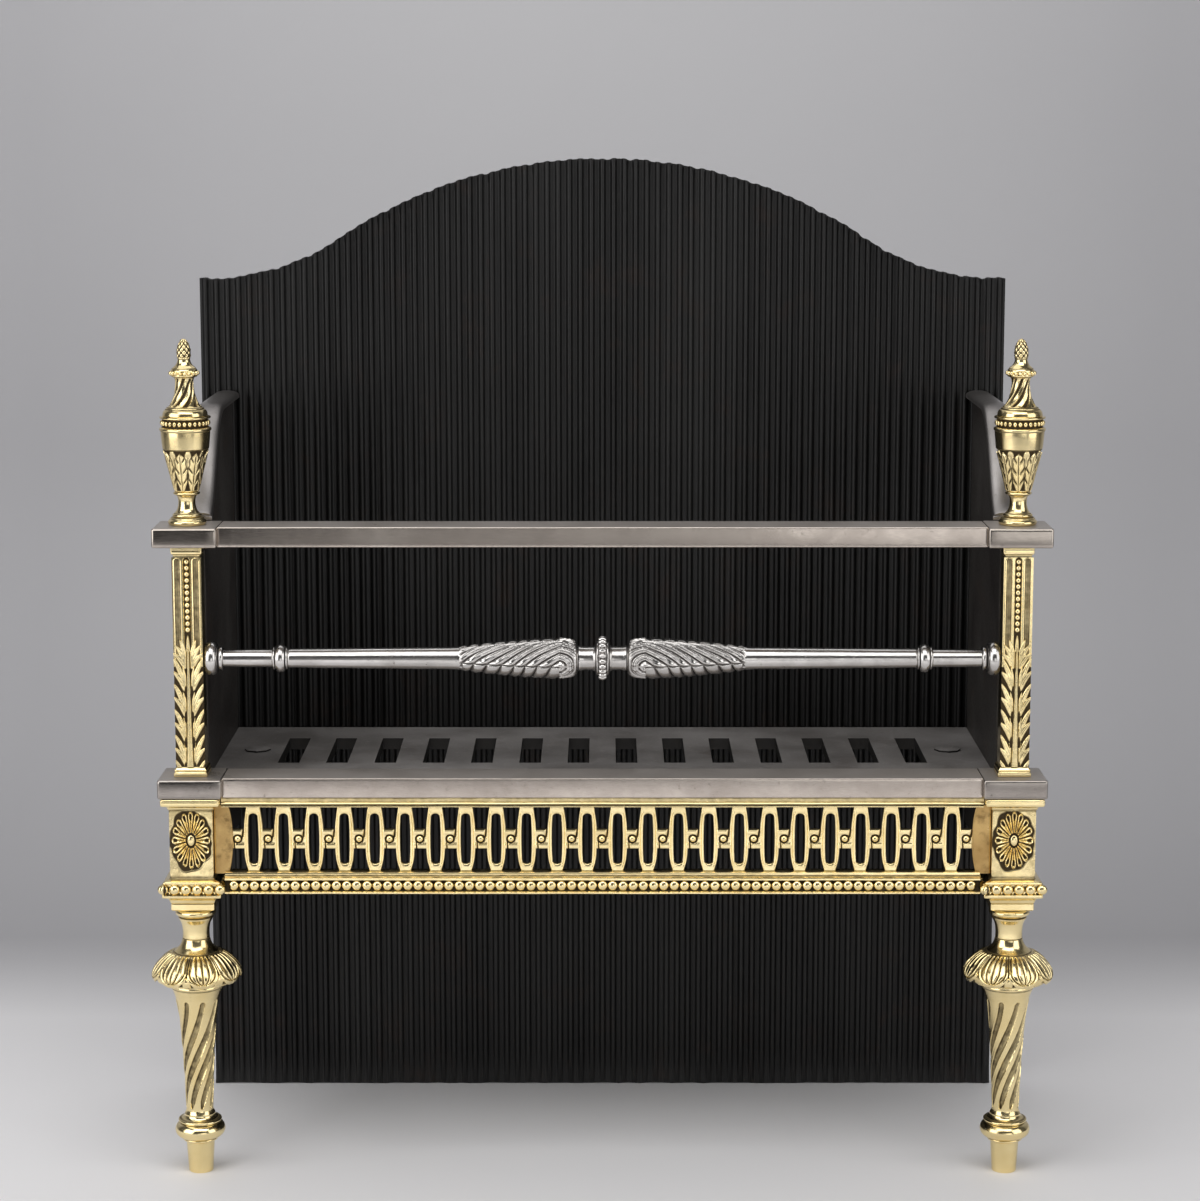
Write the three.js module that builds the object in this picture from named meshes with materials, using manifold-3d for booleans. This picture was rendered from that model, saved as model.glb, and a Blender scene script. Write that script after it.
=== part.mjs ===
// Free-standing fire basket: steel rails, brass legs, columns, frieze and urns, and an arched
// reeded cast-iron fireback. Millimetres, +Z up, front towards -Y. Depths are worked back from
// the front faces of the end blocks, and heights up from the floor.
import * as THREE from "three";
import { mergeVertices } from "three/addons/utils/BufferGeometryUtils.js";
import Module from "manifold-3d";

const wasm = await Module();
wasm.setup();

// Clearance of faces that meet, and how far a cut runs past what it cuts
const seat = 0.3;
const overrun = 2;

// Facets round a turned piece, a rod or bolt, a bead and a boss, and along a half circle
const turnedSides = 12;
const boltSides = 8;
const beadSides = 4;
const beadRings = 3;
const bossSides = 8;
const bossRings = 6;
const buttonSides = 6;
const slotSteps = 3;
const lugSteps = 6;
const fluteRings = 2;
const fluteSides = 6;
const archSteps = 7;

// Half width of the fireback, which the cheeks and the leg axes follow
const firebackHalf = 358.5;
const cheekInset = 27.5;
const axisInset = 17;

// Rails: end blocks on the leg axes, with the bars tenoned between them
const axisX = firebackHalf - axisInset;
const blockWidth = 53;
const blockDepth = 52;
const railThickness = 16.7;
const blockChamfer = 1.6;
const barSetback = 8;
const barBackSetback = 4;
const tenonLength = 10;
const tenonShoulder = 4;

// Leg: a stack of brass castings on an iron rod
const rodRadius = 5;
const toeHeight = 51;
const toeRadius = 21.3;
const toeShares = [
  [0.45, 0], [0.56, 0.48], [0.72, 0.5], [0.74, 0.57], [0.94, 0.6], [1, 0.72], [0.94, 0.84],
  [0.84, 0.86], [0.84, 0.92], [0.56, 1],
];
const toeSocketShare = 0.5;
const shaftHeight = 110.6;
const shaftFootRadius = 11.3;
const shaftTopRadius = 22;
const shaftFlutes = 8;
const shaftTurnShare = 0.33;
const shaftFluteDepthShare = 0.13;
const shaftFluteShares = [[0, 1], [0.24, 0], [0.76, 0]];
const shaftRingShares = [
  { height: 0, swell: 0.06, flute: 0 }, { height: 0.06, swell: 0, flute: 0 },
  { height: 0.1, swell: 0.01, flute: 1 }, { height: 0.3, swell: 0.13, flute: 1 },
  { height: 0.5, swell: 0.23, flute: 1 }, { height: 0.7, swell: 0.38, flute: 1 },
  { height: 0.87, swell: 0.56, flute: 1 }, { height: 0.91, swell: 0.66, flute: 0 },
  { height: 1, swell: 1, flute: 0 },
];
const knopHeight = 30.1;
const knopRadius = 38;
const knopLeaves = 8;
const knopTurnShare = -0.03;
const knopNotchShare = 0.12;
const knopLeafShares = [[0, 1], [0.3, 0], [0.7, 0]];
const knopRingShares = [
  { height: 0, radius: 0.6, notch: 0 }, { height: 0.1, radius: 0.6, notch: 0 },
  { height: 0.24, radius: 0.9, notch: 1 }, { height: 0.42, radius: 1, notch: 1 },
  { height: 0.72, radius: 0.86, notch: 0.6 }, { height: 1, radius: 0.56, notch: 0 },
];
const capitalHeight = 38.9;
const capitalRadius = 18.05;
const capitalShares = [
  [1.1, 0], [0.96, 0.09], [0.7, 0.22], [0.62, 0.32], [0.62, 0.5], [0.8, 0.7], [0.8, 0.77],
  [0.98, 0.81], [0.98, 0.92], [0.86, 1],
];
const abacusHeight = 6;

// Die: the hollow brass box between leg and lower rail, moulded round foot and head
const dieHalf = 18.4;
const dieBore = 11;
const dieHeight = 89.2;
const dieShares = [
  [1, 0], [1.1, 0.03], [1.37, 0.07], [1.4, 0.1], [1.22, 0.105], [1.22, 0.19], [1.3, 0.195],
  [1.3, 0.215], [1, 0.225], [1, 0.915], [1.06, 0.92], [1.22, 0.95], [1.35, 0.96], [1.35, 1],
];
const dieCorniceShare = 1.35;
const beadHeightShare = 0.148;
const beadRadius = 3.6;
const dieBeads = 6;
const dieBeadPitch = 9.44;
const rosetteHalfWidth = 16;
const rosetteHalfHeightShare = 0.275;
const rosetteThickness = 2.4;
const rosettePetals = 16;
const rosetteNotchShare = 0.86;
const rosetteBossShare = 0.3;
const rosetteBossRise = 3;

// Frieze: the pierced fret, seated in the grooves of two mouldings
const ovalCount = 24;
const fretEndWidth = 38.5;
const ovalPitch = (2 * (axisX - fretEndWidth)) / ovalCount;
const ovalHalf = 7.85;
const neckHalf = 5;
const flankPower = 1.6;
const flankShares = [0, 0.6, 1];
const slotHalf = 4.35;
const slotHeightShare = 0.78;
const linkHeightShare = 0.29;
const openingRise = 26.5;
const openingDrop = 8.1;
const buttonRadius = 2.9;
const buttonRise = 2.2;
const fretFrontY = 12;
const fretThickness = 5;
const fretLap = 3;
const mouldingDepth = 12;
const mouldingFrontY = 9;
const mouldingCove = 1.4;
const beadMouldingHeight = 18;
const beadMouldingFrontY = 4.4;
const beadCoveDepth = 4;
const beadFillet = 2.8;
const beadBand = 7.8;
const friezeBeadRadius = 3.4;
const friezeBeadPitch = 8.52;
const beadRelief = 1;

// Columns between the rails
const columnHeight = 192.4;
const columnHalf = 12.4;
const columnBore = 8;
const columnShares = [
  [1.12, 0], [1.12, 0.022], [1.02, 0.028], [1.07, 0.038], [1, 0.046], [1, 0.955], [0.93, 0.96],
  [0.93, 0.967], [1.03, 0.975], [1.06, 1],
];
const columnFluteRadius = 2.5;
const columnFluteShares = { foot: 0.585, head: 0.935, side: 0.52, depth: 0.5 };
const leafRelief = 1.5;
const leafSpanShares = { foot: 0.05, head: 0.56 };
const leafShares = [
  [0, 0], [0.6, 0], [0.66, 0.1], [0.95, 0.2], [0.62, 0.27], [0.68, 0.36], [0.95, 0.45],
  [0.6, 0.51], [0.62, 0.6], [0.84, 0.69], [0.5, 0.74], [0.46, 0.83], [0.28, 0.92], [0, 1],
];

// Turned bar across the front, held in the columns by its tenons
const barHeightShare = 0.508;
const barRadius = 17;
const barTenonRadius = 4;
const barTenonLength = 3.6;
const barShares = [
  { along: 0, radius: 1.14 }, { along: 0.017, radius: 1.06 }, { along: 0.02, radius: 0.58 },
  { along: 0.058, radius: 0.58 }, { along: 0.066, radius: 0.86 }, { along: 0.113, radius: 1 },
  { along: 0.21, radius: 0.92 }, { along: 0.356, radius: 0.56 }, { along: 0.79, radius: 0.47 },
  { along: 0.8, radius: 0.7 }, { along: 0.818, radius: 0.7 }, { along: 0.83, radius: 0.44 },
  { along: 0.952, radius: 0.43 }, { along: 0.956, radius: 0.58 }, { along: 0.966, radius: 0.58 },
  { along: 0.972, radius: 0.84 }, { along: 1, radius: 0.84 },
];

// Urn finials: socle, urn and cover
const socleHeight = 27;
const socleRadius = 15.2;
const socleShares = [
  [1, 0], [1, 0.16], [0.86, 0.21], [0.76, 0.24], [0.76, 0.32], [0.6, 0.4], [0.5, 0.58],
  [0.5, 0.7], [0.69, 0.9], [0.69, 1],
];
const urnHeight = 61.7;
const urnRadius = 20.9;
const urnShares = [
  [0.5, 0], [0.66, 0.255], [0.79, 0.41], [0.91, 0.58], [0.97, 0.81], [1, 0.84],
  [0.96, 0.87], [0.96, 0.95], [1, 0.97], [1, 1],
];
const urnSocket = 20;
const coverHeight = 63.2;
const coverRadius = 18.4;
const coverFlutes = 8;
const coverTurnShare = 0.15;
const coverFluteDepthShare = 0.17;
const coverFluteShares = [[0, 1], [0.5, 0]];
const coverRingShares = [
  { height: 0, radius: 1, flute: 0 }, { height: 0.075, radius: 1, flute: 0 },
  { height: 0.09, radius: 0.85, flute: 0 }, { height: 0.12, radius: 0.84, flute: 0 },
  { height: 0.19, radius: 0.6, flute: 1 }, { height: 0.3, radius: 0.43, flute: 1 },
  { height: 0.47, radius: 0.4, flute: 0 }, { height: 0.5, radius: 0.65, flute: 0 },
  { height: 0.59, radius: 0.65, flute: 0 }, { height: 0.64, radius: 0.5, flute: 0 },
  { height: 0.73, radius: 0.26, flute: 0 }, { height: 0.82, radius: 0.32, flute: 0 },
  { height: 1, radius: 0.08, flute: 0 },
];

// Cheeks, the cast side plates between the rails and the fireback, with their steel caps
const cheekInnerX = firebackHalf - cheekInset;
const cheekThickness = 9;
const cheekDrop = 78;
const cheekTopZ = 639;
const cheekShoulderY = 150;
const cheekSweepShares = { leave: [0.33, 0.2], arrive: [0.5, 1] };
const flangeWidth = 17;
const flangeThickness = 8;
const flangeTopDrop = 12;
const ledgeWidth = 14;
const ledgeThickness = 9;
const lugRadius = 15;
const capWidth = 22;
const capThickness = 5.6;
const capSectionShares = [
  [-0.5, 0], [0.5, 0], [0.5, 0.45], [0.36, 0.86], [0.12, 1], [-0.12, 1], [-0.36, 0.86],
  [-0.5, 0.45],
];
const capSteps = 10;

// Grate: a slotted plate bolted to the lugs of the cheeks
const grateDrop = 7;
const grateThickness = 10;
const grateSlots = 14;
const grateEndWidth = 40.5;
const grateSlotPitch = (2 * (cheekInnerX - grateEndWidth)) / grateSlots;
const grateSlotWidth = 18.5;
const grateSlotLength = 104;
const grateSlotY = 155;
const grateBoltInset = 29;
const grateBoltX = cheekInnerX - grateBoltInset;
const grateBoltRadius = 6;
const grateHeadRadius = 11.5;
const grateHeadRise = 2.5;
const grateNutHalf = 9;
const nutHeight = 7;
const threadEnd = 2;

// Fireback: a reeded cast plate with an arched head
const firebackFrontY = 257;
const firebackThickness = 13;
const firebackCornerZ = 744.5;
const firebackRise = 105.5;
const archCrownRadius = 425;
const archShoulderFlat = 8;
const reedCount = 73;
const reedDepth = 3.4;
const reedShares = [[0, 1], [0.32, 0.1], [0.68, 0.1]];
const backBoltRadius = 4.5;
const backHeadRadius = 8.5;
const backHeadDepth = 4;
const backNutHalf = 7.5;
const backBoltShares = [0.16, 0.84];

// Heights, worked up from the floor
const shaftZ = toeHeight + seat;
const knopZ = shaftZ + shaftHeight + seat;
const capitalZ = knopZ + knopHeight + seat;
const dieZ = capitalZ + capitalHeight + abacusHeight + seat;
const lowerRailZ = dieZ + dieHeight + seat;
const columnZ = lowerRailZ + railThickness + seat;
const topRailZ = columnZ + columnHeight + seat;
const socleZ = topRailZ + railThickness + seat;
const urnZ = socleZ + socleHeight + seat;
const coverZ = urnZ + urnHeight + seat;
const turnedBarZ = columnZ + columnHeight * barHeightShare;
const grateZ = lowerRailZ + railThickness - grateDrop - grateThickness;
const ledgeZ = grateZ - seat - ledgeThickness;
const cheekFootZ = lowerRailZ - cheekDrop;
const openingFootZ = dieZ + openingRise;
const openingHeadZ = lowerRailZ - openingDrop;
const openingHeight = openingHeadZ - openingFootZ;
const rosetteHalfHeight = rosetteHalfHeightShare * dieHeight;

// Depths
const axisY = blockDepth / 2;
const barBackY = blockDepth - barBackSetback;
const cheekFrontY = blockDepth + seat;
const cheekBackY = firebackFrontY - seat;
const firebackBackY = firebackFrontY + firebackThickness;
const dieBeadReach = ((dieBeads - 1) * dieBeadPitch) / 2;
const topMouldingHalf = axisX - dieHalf * dieCorniceShare - seat;
const beadMouldingHalf = axisX - dieBeadReach - beadRadius - seat;

// Finishes
const finish = (color, roughness, metalness) =>
  new THREE.MeshStandardMaterial({ color, roughness, metalness });
const brass = finish(0xc9a45a, 0.28, 1);
const steel = finish(0x8d857f, 0.36, 1);
const brightSteel = finish(0xa9a6a3, 0.25, 1);
const castIron = finish(0x232221, 0.62, 0.6);
const wroughtIron = finish(0x3a3633, 0.6, 0.8);

const part = new THREE.Group();
const basket = new THREE.Group();
part.add(basket);

// Closed solid of a geometry, with its faces turned outwards
function solid(geometry) {
  const bare = geometry.clone();
  bare.deleteAttribute("normal");
  bare.deleteAttribute("uv");
  const merged = mergeVertices(bare);
  const vertProperties = new Float32Array(merged.attributes.position.array);
  const corner = (i) => new THREE.Vector3().fromArray(vertProperties, 3 * i);
  const faces = [];
  let volume = 0;
  for (let i = 0; i < merged.index.count; i += 3) {
    const [a, b, c] = merged.index.array.slice(i, i + 3);
    if (a === b || b === c || c === a) continue;
    volume += corner(a).dot(corner(b).cross(corner(c)));
    faces.push(a, b, c);
  }
  const triVerts = new Uint32Array(volume < 0 ? faces.reverse() : faces);
  return new wasm.Manifold(new wasm.Mesh({ numProp: 3, vertProperties, triVerts }));
}

// Geometry of a solid
function surface(body) {
  const mesh = body.getMesh();
  const geometry = new THREE.BufferGeometry();
  geometry.setAttribute("position", new THREE.BufferAttribute(mesh.vertProperties, 3));
  geometry.setIndex(new THREE.BufferAttribute(mesh.triVerts, 1));
  return geometry;
}

// Adds one named piece to the basket
function place(name, body, material) {
  const mesh = new THREE.Mesh(surface(body), material);
  mesh.name = name;
  basket.add(mesh);
}

// Adds a piece made for the right side, and its mirror image on the left
function placePair(name, body, material) {
  place("right_" + name, body, material);
  place("left_" + name, body.mirror([1, 0, 0]), material);
}

// Adds two like castings, not mirrored, at a height on the two leg axes
function placeAlike(name, body, z, material) {
  place("right_" + name, body.translate([axisX, axisY, z]), material);
  place("left_" + name, body.translate([-axisX, axisY, z]), material);
}

// Box between two opposite corners
function box(low, high) {
  const size = high.map((value, i) => value - low[i]);
  const middle = high.map((value, i) => (value + low[i]) / 2);
  return solid(new THREE.BoxGeometry(...size).translate(...middle));
}

// Solid through rings that all have as many points, closed at both ends
function loft(rings) {
  const sides = rings[0].length;
  const last = (rings.length - 1) * sides;
  const index = [];
  for (let start = 0; start < last; start += sides) {
    for (let side = 0; side < sides; side++) {
      const a = start + side;
      const b = start + ((side + 1) % sides);
      index.push(a, b, a + sides, b, b + sides, a + sides);
    }
  }
  for (let side = 1; side + 1 < sides; side++) {
    index.push(0, side + 1, side);
    index.push(last, last + side, last + side + 1);
  }
  const geometry = new THREE.BufferGeometry().setFromPoints(rings.flat());
  return solid(geometry.setIndex(index));
}

// Outline of a turned piece from a table of shares of its radius and height
const turnedOutline = (shares, radius, height) =>
  shares.map(([radiusShare, heightShare]) =>
    new THREE.Vector2(radiusShare * radius, heightShare * height));

// Piece turned about the Z axis; its outline runs upwards and starts at the floor
function turned(outline, sides = turnedSides) {
  const onAxis = (point) => new THREE.Vector2(0, point.y);
  const points = [onAxis(outline[0]), ...outline, onAxis(outline[outline.length - 1])];
  return solid(new THREE.LatheGeometry(points, sides).rotateX(Math.PI / 2));
}

// Piece moulded alike on four sides, its outline given in half widths
function squared(outline) {
  const corners = outline.map((point) => new THREE.Vector2(point.x * Math.SQRT2, point.y));
  return turned(corners, 4).rotate([0, 0, 45]);
}

// Round bar that stands on a height
function cylinder(radius, baseZ, topZ) {
  const geometry = new THREE.CylinderGeometry(radius, radius, topZ - baseZ, boltSides);
  return solid(geometry.rotateX(Math.PI / 2).translate(0, 0, (baseZ + topZ) / 2));
}

// Hole for the iron rod between two heights
const rodHole = (baseZ, topZ) => cylinder(rodRadius + seat, baseZ, topZ);

// Ring with dips spaced round it, the first at the front until the ring is turned; the section
// gives points across one repeat, each with its share of the dip
function windingRing({ radius, height, turn, repeats, section, dip }) {
  const ring = [];
  for (let repeat = 0; repeat < repeats; repeat++) {
    for (const [across, depth] of section) {
      const angle = 2 * Math.PI * ((repeat + across) / repeats + turn) - Math.PI / 2;
      const reach = radius * (1 - dip * depth);
      ring.push(new THREE.Vector3(reach * Math.cos(angle), reach * Math.sin(angle), height));
    }
  }
  return ring;
}

// Profile in depth and height, run across the front
function strip(outline, fromX, toX) {
  const options = { depth: toX - fromX, bevelEnabled: false };
  const geometry = new THREE.ExtrudeGeometry(outline, options);
  return solid(geometry.rotateX(Math.PI / 2).rotateZ(Math.PI / 2).translate(fromX, 0, 0));
}

// Plate with its outline in width and height, from a front face backwards
function upright(outline, frontY, thickness) {
  const options = { depth: thickness, bevelEnabled: false, curveSegments: archSteps };
  const geometry = new THREE.ExtrudeGeometry(outline, options);
  return solid(geometry.rotateX(Math.PI / 2).translate(0, frontY + thickness, 0));
}

// Plate with its outline in plan, from a base height upwards
function slab(outline, baseZ, thickness) {
  const options = { depth: thickness, bevelEnabled: false };
  return solid(new THREE.ExtrudeGeometry(outline, options).translate(0, 0, baseZ));
}

// Shape through a list of points
const outlineOf = (points) =>
  new THREE.Shape(points.map(([x, y]) => new THREE.Vector2(x, y)));

// Body with all the cutters taken out of it
const cutBy = (body, cutters) => cutters.reduce((rest, cutter) => rest.subtract(cutter), body);

// Points round an arc, both ends included
function arcPoints(centreX, centreY, radius, from, to, steps) {
  return Array.from({ length: steps + 1 }, (_, i) => {
    const angle = THREE.MathUtils.lerp(from, to, i / steps);
    return [centreX + radius * Math.cos(angle), centreY + radius * Math.sin(angle)];
  });
}

// Cast foot of the leg: peg, torus and ring, with a blind socket for the rod
function legToe() {
  const toe = turned(turnedOutline(toeShares, toeRadius, toeHeight));
  return toe.subtract(rodHole(toeHeight * toeSocketShare, toeHeight + overrun));
}

// Tapering shaft with spiral flutes that stop short of its ends
function legShaft() {
  const rings = shaftRingShares.map((share) => windingRing({
    radius: THREE.MathUtils.lerp(shaftFootRadius, shaftTopRadius, share.swell),
    height: share.height * shaftHeight,
    turn: shaftTurnShare * THREE.MathUtils.smoothstep(share.height, 0, 1),
    repeats: shaftFlutes,
    section: shaftFluteShares,
    dip: shaftFluteDepthShare * share.flute,
  }));
  return loft(rings).subtract(rodHole(-overrun, shaftHeight + overrun));
}

// Spreading ring of leaves above the shaft
function legKnop() {
  const rings = knopRingShares.map((share) => windingRing({
    radius: knopRadius * share.radius,
    height: share.height * knopHeight,
    turn: knopTurnShare,
    repeats: knopLeaves,
    section: knopLeafShares,
    dip: knopNotchShare * share.notch,
  }));
  return loft(rings).subtract(rodHole(-overrun, knopHeight + overrun));
}

// Round neck and torus under a square abacus
function legCapital() {
  const neck = turned(turnedOutline(capitalShares, capitalRadius, capitalHeight));
  const low = [-capitalRadius, -capitalRadius, capitalHeight];
  const high = [capitalRadius, capitalRadius, capitalHeight + abacusHeight];
  const height = capitalHeight + abacusHeight;
  return neck.add(box(low, high)).subtract(rodHole(-overrun, height + overrun));
}

// Bead whose pole points to the front
const bead = (radius, x, y, z) =>
  solid(new THREE.SphereGeometry(radius, beadSides, beadRings).translate(x, y, z));

// Hollow die with beads along the front and the outer side of its foot
function die() {
  let body = squared(turnedOutline(dieShares, dieHalf, dieHeight));
  const beadZ = beadHeightShare * dieHeight;
  for (let i = 0; i < dieBeads; i++) {
    const along = i * dieBeadPitch - dieBeadReach;
    body = body.add(bead(beadRadius, along, -dieBeadReach, beadZ));
    if (i > 0) body = body.add(bead(beadRadius, dieBeadReach, along, beadZ));
  }
  const low = [-dieBore, -dieBore, -overrun];
  const high = [dieBore, dieBore, dieHeight + overrun];
  return body.subtract(box(low, high));
}

// Oval rosette of petals round a boss, applied to the front of the die
function rosette() {
  const points = [];
  const steps = rosettePetals * 2;
  for (let i = 0; i < steps; i++) {
    const angle = (2 * Math.PI * i) / steps;
    const reach = i % 2 === 0 ? 1 : rosetteNotchShare;
    points.push([
      rosetteHalfWidth * reach * Math.sin(angle),
      rosetteHalfHeight * reach * Math.cos(angle),
    ]);
  }
  const boss = new THREE.SphereGeometry(1, bossSides, bossRings);
  boss.scale(rosetteHalfWidth * rosetteBossShare, rosetteBossRise,
    rosetteHalfHeight * rosetteBossShare);
  const plate = upright(outlineOf(points), 0, rosetteThickness);
  return plate.add(solid(boss).trimByPlane([0, -1, 0], -rosetteThickness / 2));
}

// Half width of an oval at a share of the way from the link to a moulding
const flankAt = (share) => ovalHalf - (ovalHalf - neckHalf) * share ** flankPower;

// Opening between two ovals, from the link at fromZ to the moulding at toZ
function flankOpening(centreX, fromZ, toZ) {
  const rightOfOval = [];
  const leftOfNext = [];
  for (const share of flankShares) {
    const z = THREE.MathUtils.lerp(fromZ, toZ, share);
    const halfGap = ovalPitch / 2 - flankAt(share);
    rightOfOval.push([centreX - halfGap, z]);
    leftOfNext.unshift([centreX + halfGap, z]);
  }
  return outlineOf([...rightOfOval, ...leftOfNext]);
}

// Round-ended slot inside an oval
function ovalSlot(centreX, centreZ) {
  const straight = (slotHeightShare * openingHeight) / 2 - slotHalf;
  return outlineOf([
    ...arcPoints(centreX, centreZ + straight, slotHalf, 0, Math.PI, slotSteps),
    ...arcPoints(centreX, centreZ - straight, slotHalf, Math.PI, 2 * Math.PI, slotSteps),
  ]);
}

// Pierced fret: ovals joined by links, each link carrying a round button
function fretPanel() {
  const half = axisX - dieHalf - seat;
  const footZ = openingFootZ - fretLap;
  const headZ = openingHeadZ + fretLap;
  const centreZ = openingFootZ + openingHeight / 2;
  const sheet = outlineOf([
    [-half, footZ], [half, footZ], [half, openingHeadZ], [topMouldingHalf, openingHeadZ],
    [topMouldingHalf, headZ], [-topMouldingHalf, headZ], [-topMouldingHalf, openingHeadZ],
    [-half, openingHeadZ],
  ]);
  const firstOval = (-(ovalCount - 1) / 2) * ovalPitch;
  const openings = [];
  const buttons = [];
  for (let i = 0; i < ovalCount; i++) {
    openings.push(ovalSlot(firstOval + i * ovalPitch, centreZ));
  }
  for (let i = 0; i <= ovalCount; i++) {
    const linkX = firstOval + (i - 1 / 2) * ovalPitch;
    const linkReach = (linkHeightShare * openingHeight) / 2;
    openings.push(flankOpening(linkX, centreZ + linkReach, openingHeadZ));
    openings.push(flankOpening(linkX, centreZ - linkReach, openingFootZ));
    const button = new THREE.ConeGeometry(buttonRadius, buttonRise * 2, buttonSides);
    buttons.push(solid(button.rotateX(Math.PI).translate(linkX, fretFrontY, centreZ)));
  }
  const panel = upright(sheet, fretFrontY, fretThickness);
  const depth = fretThickness + 2 * overrun;
  const cutters = openings.map((outline) => upright(outline, fretFrontY - overrun, depth));
  return buttons.reduce((body, button) => body.add(button), cutBy(panel, cutters));
}

// Groove of a moulding that takes the edge of the fret
const grooveFrontY = fretFrontY - seat;
const grooveBackY = fretFrontY + fretThickness + seat;

// Moulding between the fret and the lower rail
function topMoulding() {
  const headZ = lowerRailZ - seat;
  const grooveZ = openingHeadZ + fretLap + seat;
  const backY = mouldingFrontY + mouldingDepth;
  const coveY = mouldingFrontY + mouldingCove;
  const outline = outlineOf([
    [backY, headZ], [mouldingFrontY, headZ], [mouldingFrontY, headZ - mouldingCove],
    [coveY, grooveZ], [mouldingFrontY, openingHeadZ + mouldingCove],
    [mouldingFrontY, openingHeadZ], [grooveFrontY, openingHeadZ], [grooveFrontY, grooveZ],
    [grooveBackY, grooveZ], [grooveBackY, openingHeadZ], [backY, openingHeadZ],
  ]);
  return strip(outline, -topMouldingHalf, topMouldingHalf);
}

// Moulding under the fret, with its row of beads
function beadMoulding() {
  const footZ = openingFootZ - beadMouldingHeight;
  const grooveZ = openingFootZ - fretLap - seat;
  const backY = mouldingFrontY + mouldingDepth;
  const bandY = beadMouldingFrontY + beadCoveDepth;
  const bandZ = footZ + beadFillet;
  const outline = outlineOf([
    [backY, footZ], [beadMouldingFrontY, footZ], [beadMouldingFrontY, bandZ], [bandY, bandZ],
    [bandY, bandZ + beadBand], [beadMouldingFrontY, bandZ + beadBand],
    [mouldingFrontY, grooveZ], [mouldingFrontY, openingFootZ], [grooveFrontY, openingFootZ],
    [grooveFrontY, grooveZ], [grooveBackY, grooveZ], [grooveBackY, openingFootZ],
    [backY, openingFootZ],
  ]);
  const room = 2 * (beadMouldingHalf - friezeBeadRadius);
  const count = Math.floor(room / friezeBeadPitch);
  let body = strip(outline, -beadMouldingHalf, beadMouldingHalf);
  for (let i = 0; i <= count; i++) {
    const x = (i - count / 2) * friezeBeadPitch;
    body = body.add(bead(friezeBeadRadius, x, bandY - beadRelief, bandZ + beadBand / 2));
  }
  return body;
}

// Hollow square column, fluted above and leaf-carved below on its front
function column() {
  let body = squared(turnedOutline(columnShares, columnHalf, columnHeight));
  const low = [-columnBore, -columnBore, -overrun];
  const high = [columnBore, columnBore, columnHeight + overrun];
  body = body.subtract(box(low, high));
  const footZ = columnHeight * columnFluteShares.foot;
  const headZ = columnHeight * columnFluteShares.head;
  const run = new THREE.CapsuleGeometry(columnFluteRadius, headZ - footZ, fluteRings, fluteSides);
  run.rotateX(Math.PI / 2).translate(0, 0, (footZ + headZ) / 2);
  const depth = columnFluteRadius * columnFluteShares.depth;
  const flute = solid(run).translate([0, -columnHalf - columnFluteRadius + depth, 0]);
  const leaf = upright(leafOutline(), -columnHalf - leafRelief, leafRelief + seat);
  for (const side of [-1, 1]) {
    body = body.subtract(flute.translate([side * columnHalf * columnFluteShares.side, 0, 0]));
  }
  body = body.add(leaf);
  const mortise = cylinder(barTenonRadius + seat, 0, 2 * columnHalf).rotate([0, -90, 0]);
  return body.subtract(mortise.translate([0, 0, columnHeight * barHeightShare]));
}

// Upright lobed leaf on the lower half of the column
function leafOutline() {
  const footZ = columnHeight * leafSpanShares.foot;
  const headZ = columnHeight * leafSpanShares.head;
  const half = leafShares.map(([side, up]) =>
    [side * columnHalf, THREE.MathUtils.lerp(footZ, headZ, up)]);
  const other = half.slice(1, -1).reverse().map(([x, z]) => [-x, z]);
  return outlineOf([...half.slice(1), ...other]);
}

// Turned steel bar with knobs, collars and two leaf-carved swellings
function turnedBar() {
  const reach = axisX - columnHalf - seat;
  const half = barShares.map(({ along, radius }) =>
    new THREE.Vector2(radius * barRadius, along * reach));
  const tenon = [reach, reach + barTenonLength].map((x) => new THREE.Vector2(barTenonRadius, x));
  const right = [...half, ...tenon];
  const left = right.slice(1).reverse().map((point) => new THREE.Vector2(point.x, -point.y));
  return turned([...left, ...right]).rotate([0, 90, 0]).translate([0, axisY, turnedBarZ]);
}

// Round socle of the finial
function socle() {
  const body = turned(turnedOutline(socleShares, socleRadius, socleHeight));
  return body.subtract(rodHole(-overrun, socleHeight + overrun));
}

// Urn, with a blind socket for the rod
function urn() {
  const body = turned(turnedOutline(urnShares, urnRadius, urnHeight));
  return body.subtract(rodHole(-overrun, urnSocket + seat));
}

// Cover of the urn: spiral-fluted neck, collar and cone
function cover() {
  const rings = coverRingShares.map((share) => windingRing({
    radius: coverRadius * share.radius,
    height: coverHeight * share.height,
    turn: share.height * coverTurnShare,
    repeats: coverFlutes,
    section: coverFluteShares,
    dip: coverFluteDepthShare * share.flute,
  }));
  return loft(rings);
}

// Iron rod that threads the whole stack together
const tieRod = () =>
  cylinder(rodRadius, toeHeight * toeSocketShare + seat, urnZ + urnSocket);

// Rectangle in plan with its corners taken off
function chamferedOutline(halfWidth, halfDepth, chamfer) {
  const x = halfWidth - chamfer;
  const y = halfDepth - chamfer;
  return outlineOf([
    [-x, -halfDepth], [x, -halfDepth], [halfWidth, -y], [halfWidth, y],
    [x, halfDepth], [-x, halfDepth], [-halfWidth, y], [-halfWidth, -y],
  ]);
}

// Height range of the tenons that enter a rail
const tenonSpan = (railZ, gap) =>
  [railZ + tenonShoulder - gap, railZ + railThickness - tenonShoulder + gap];

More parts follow.
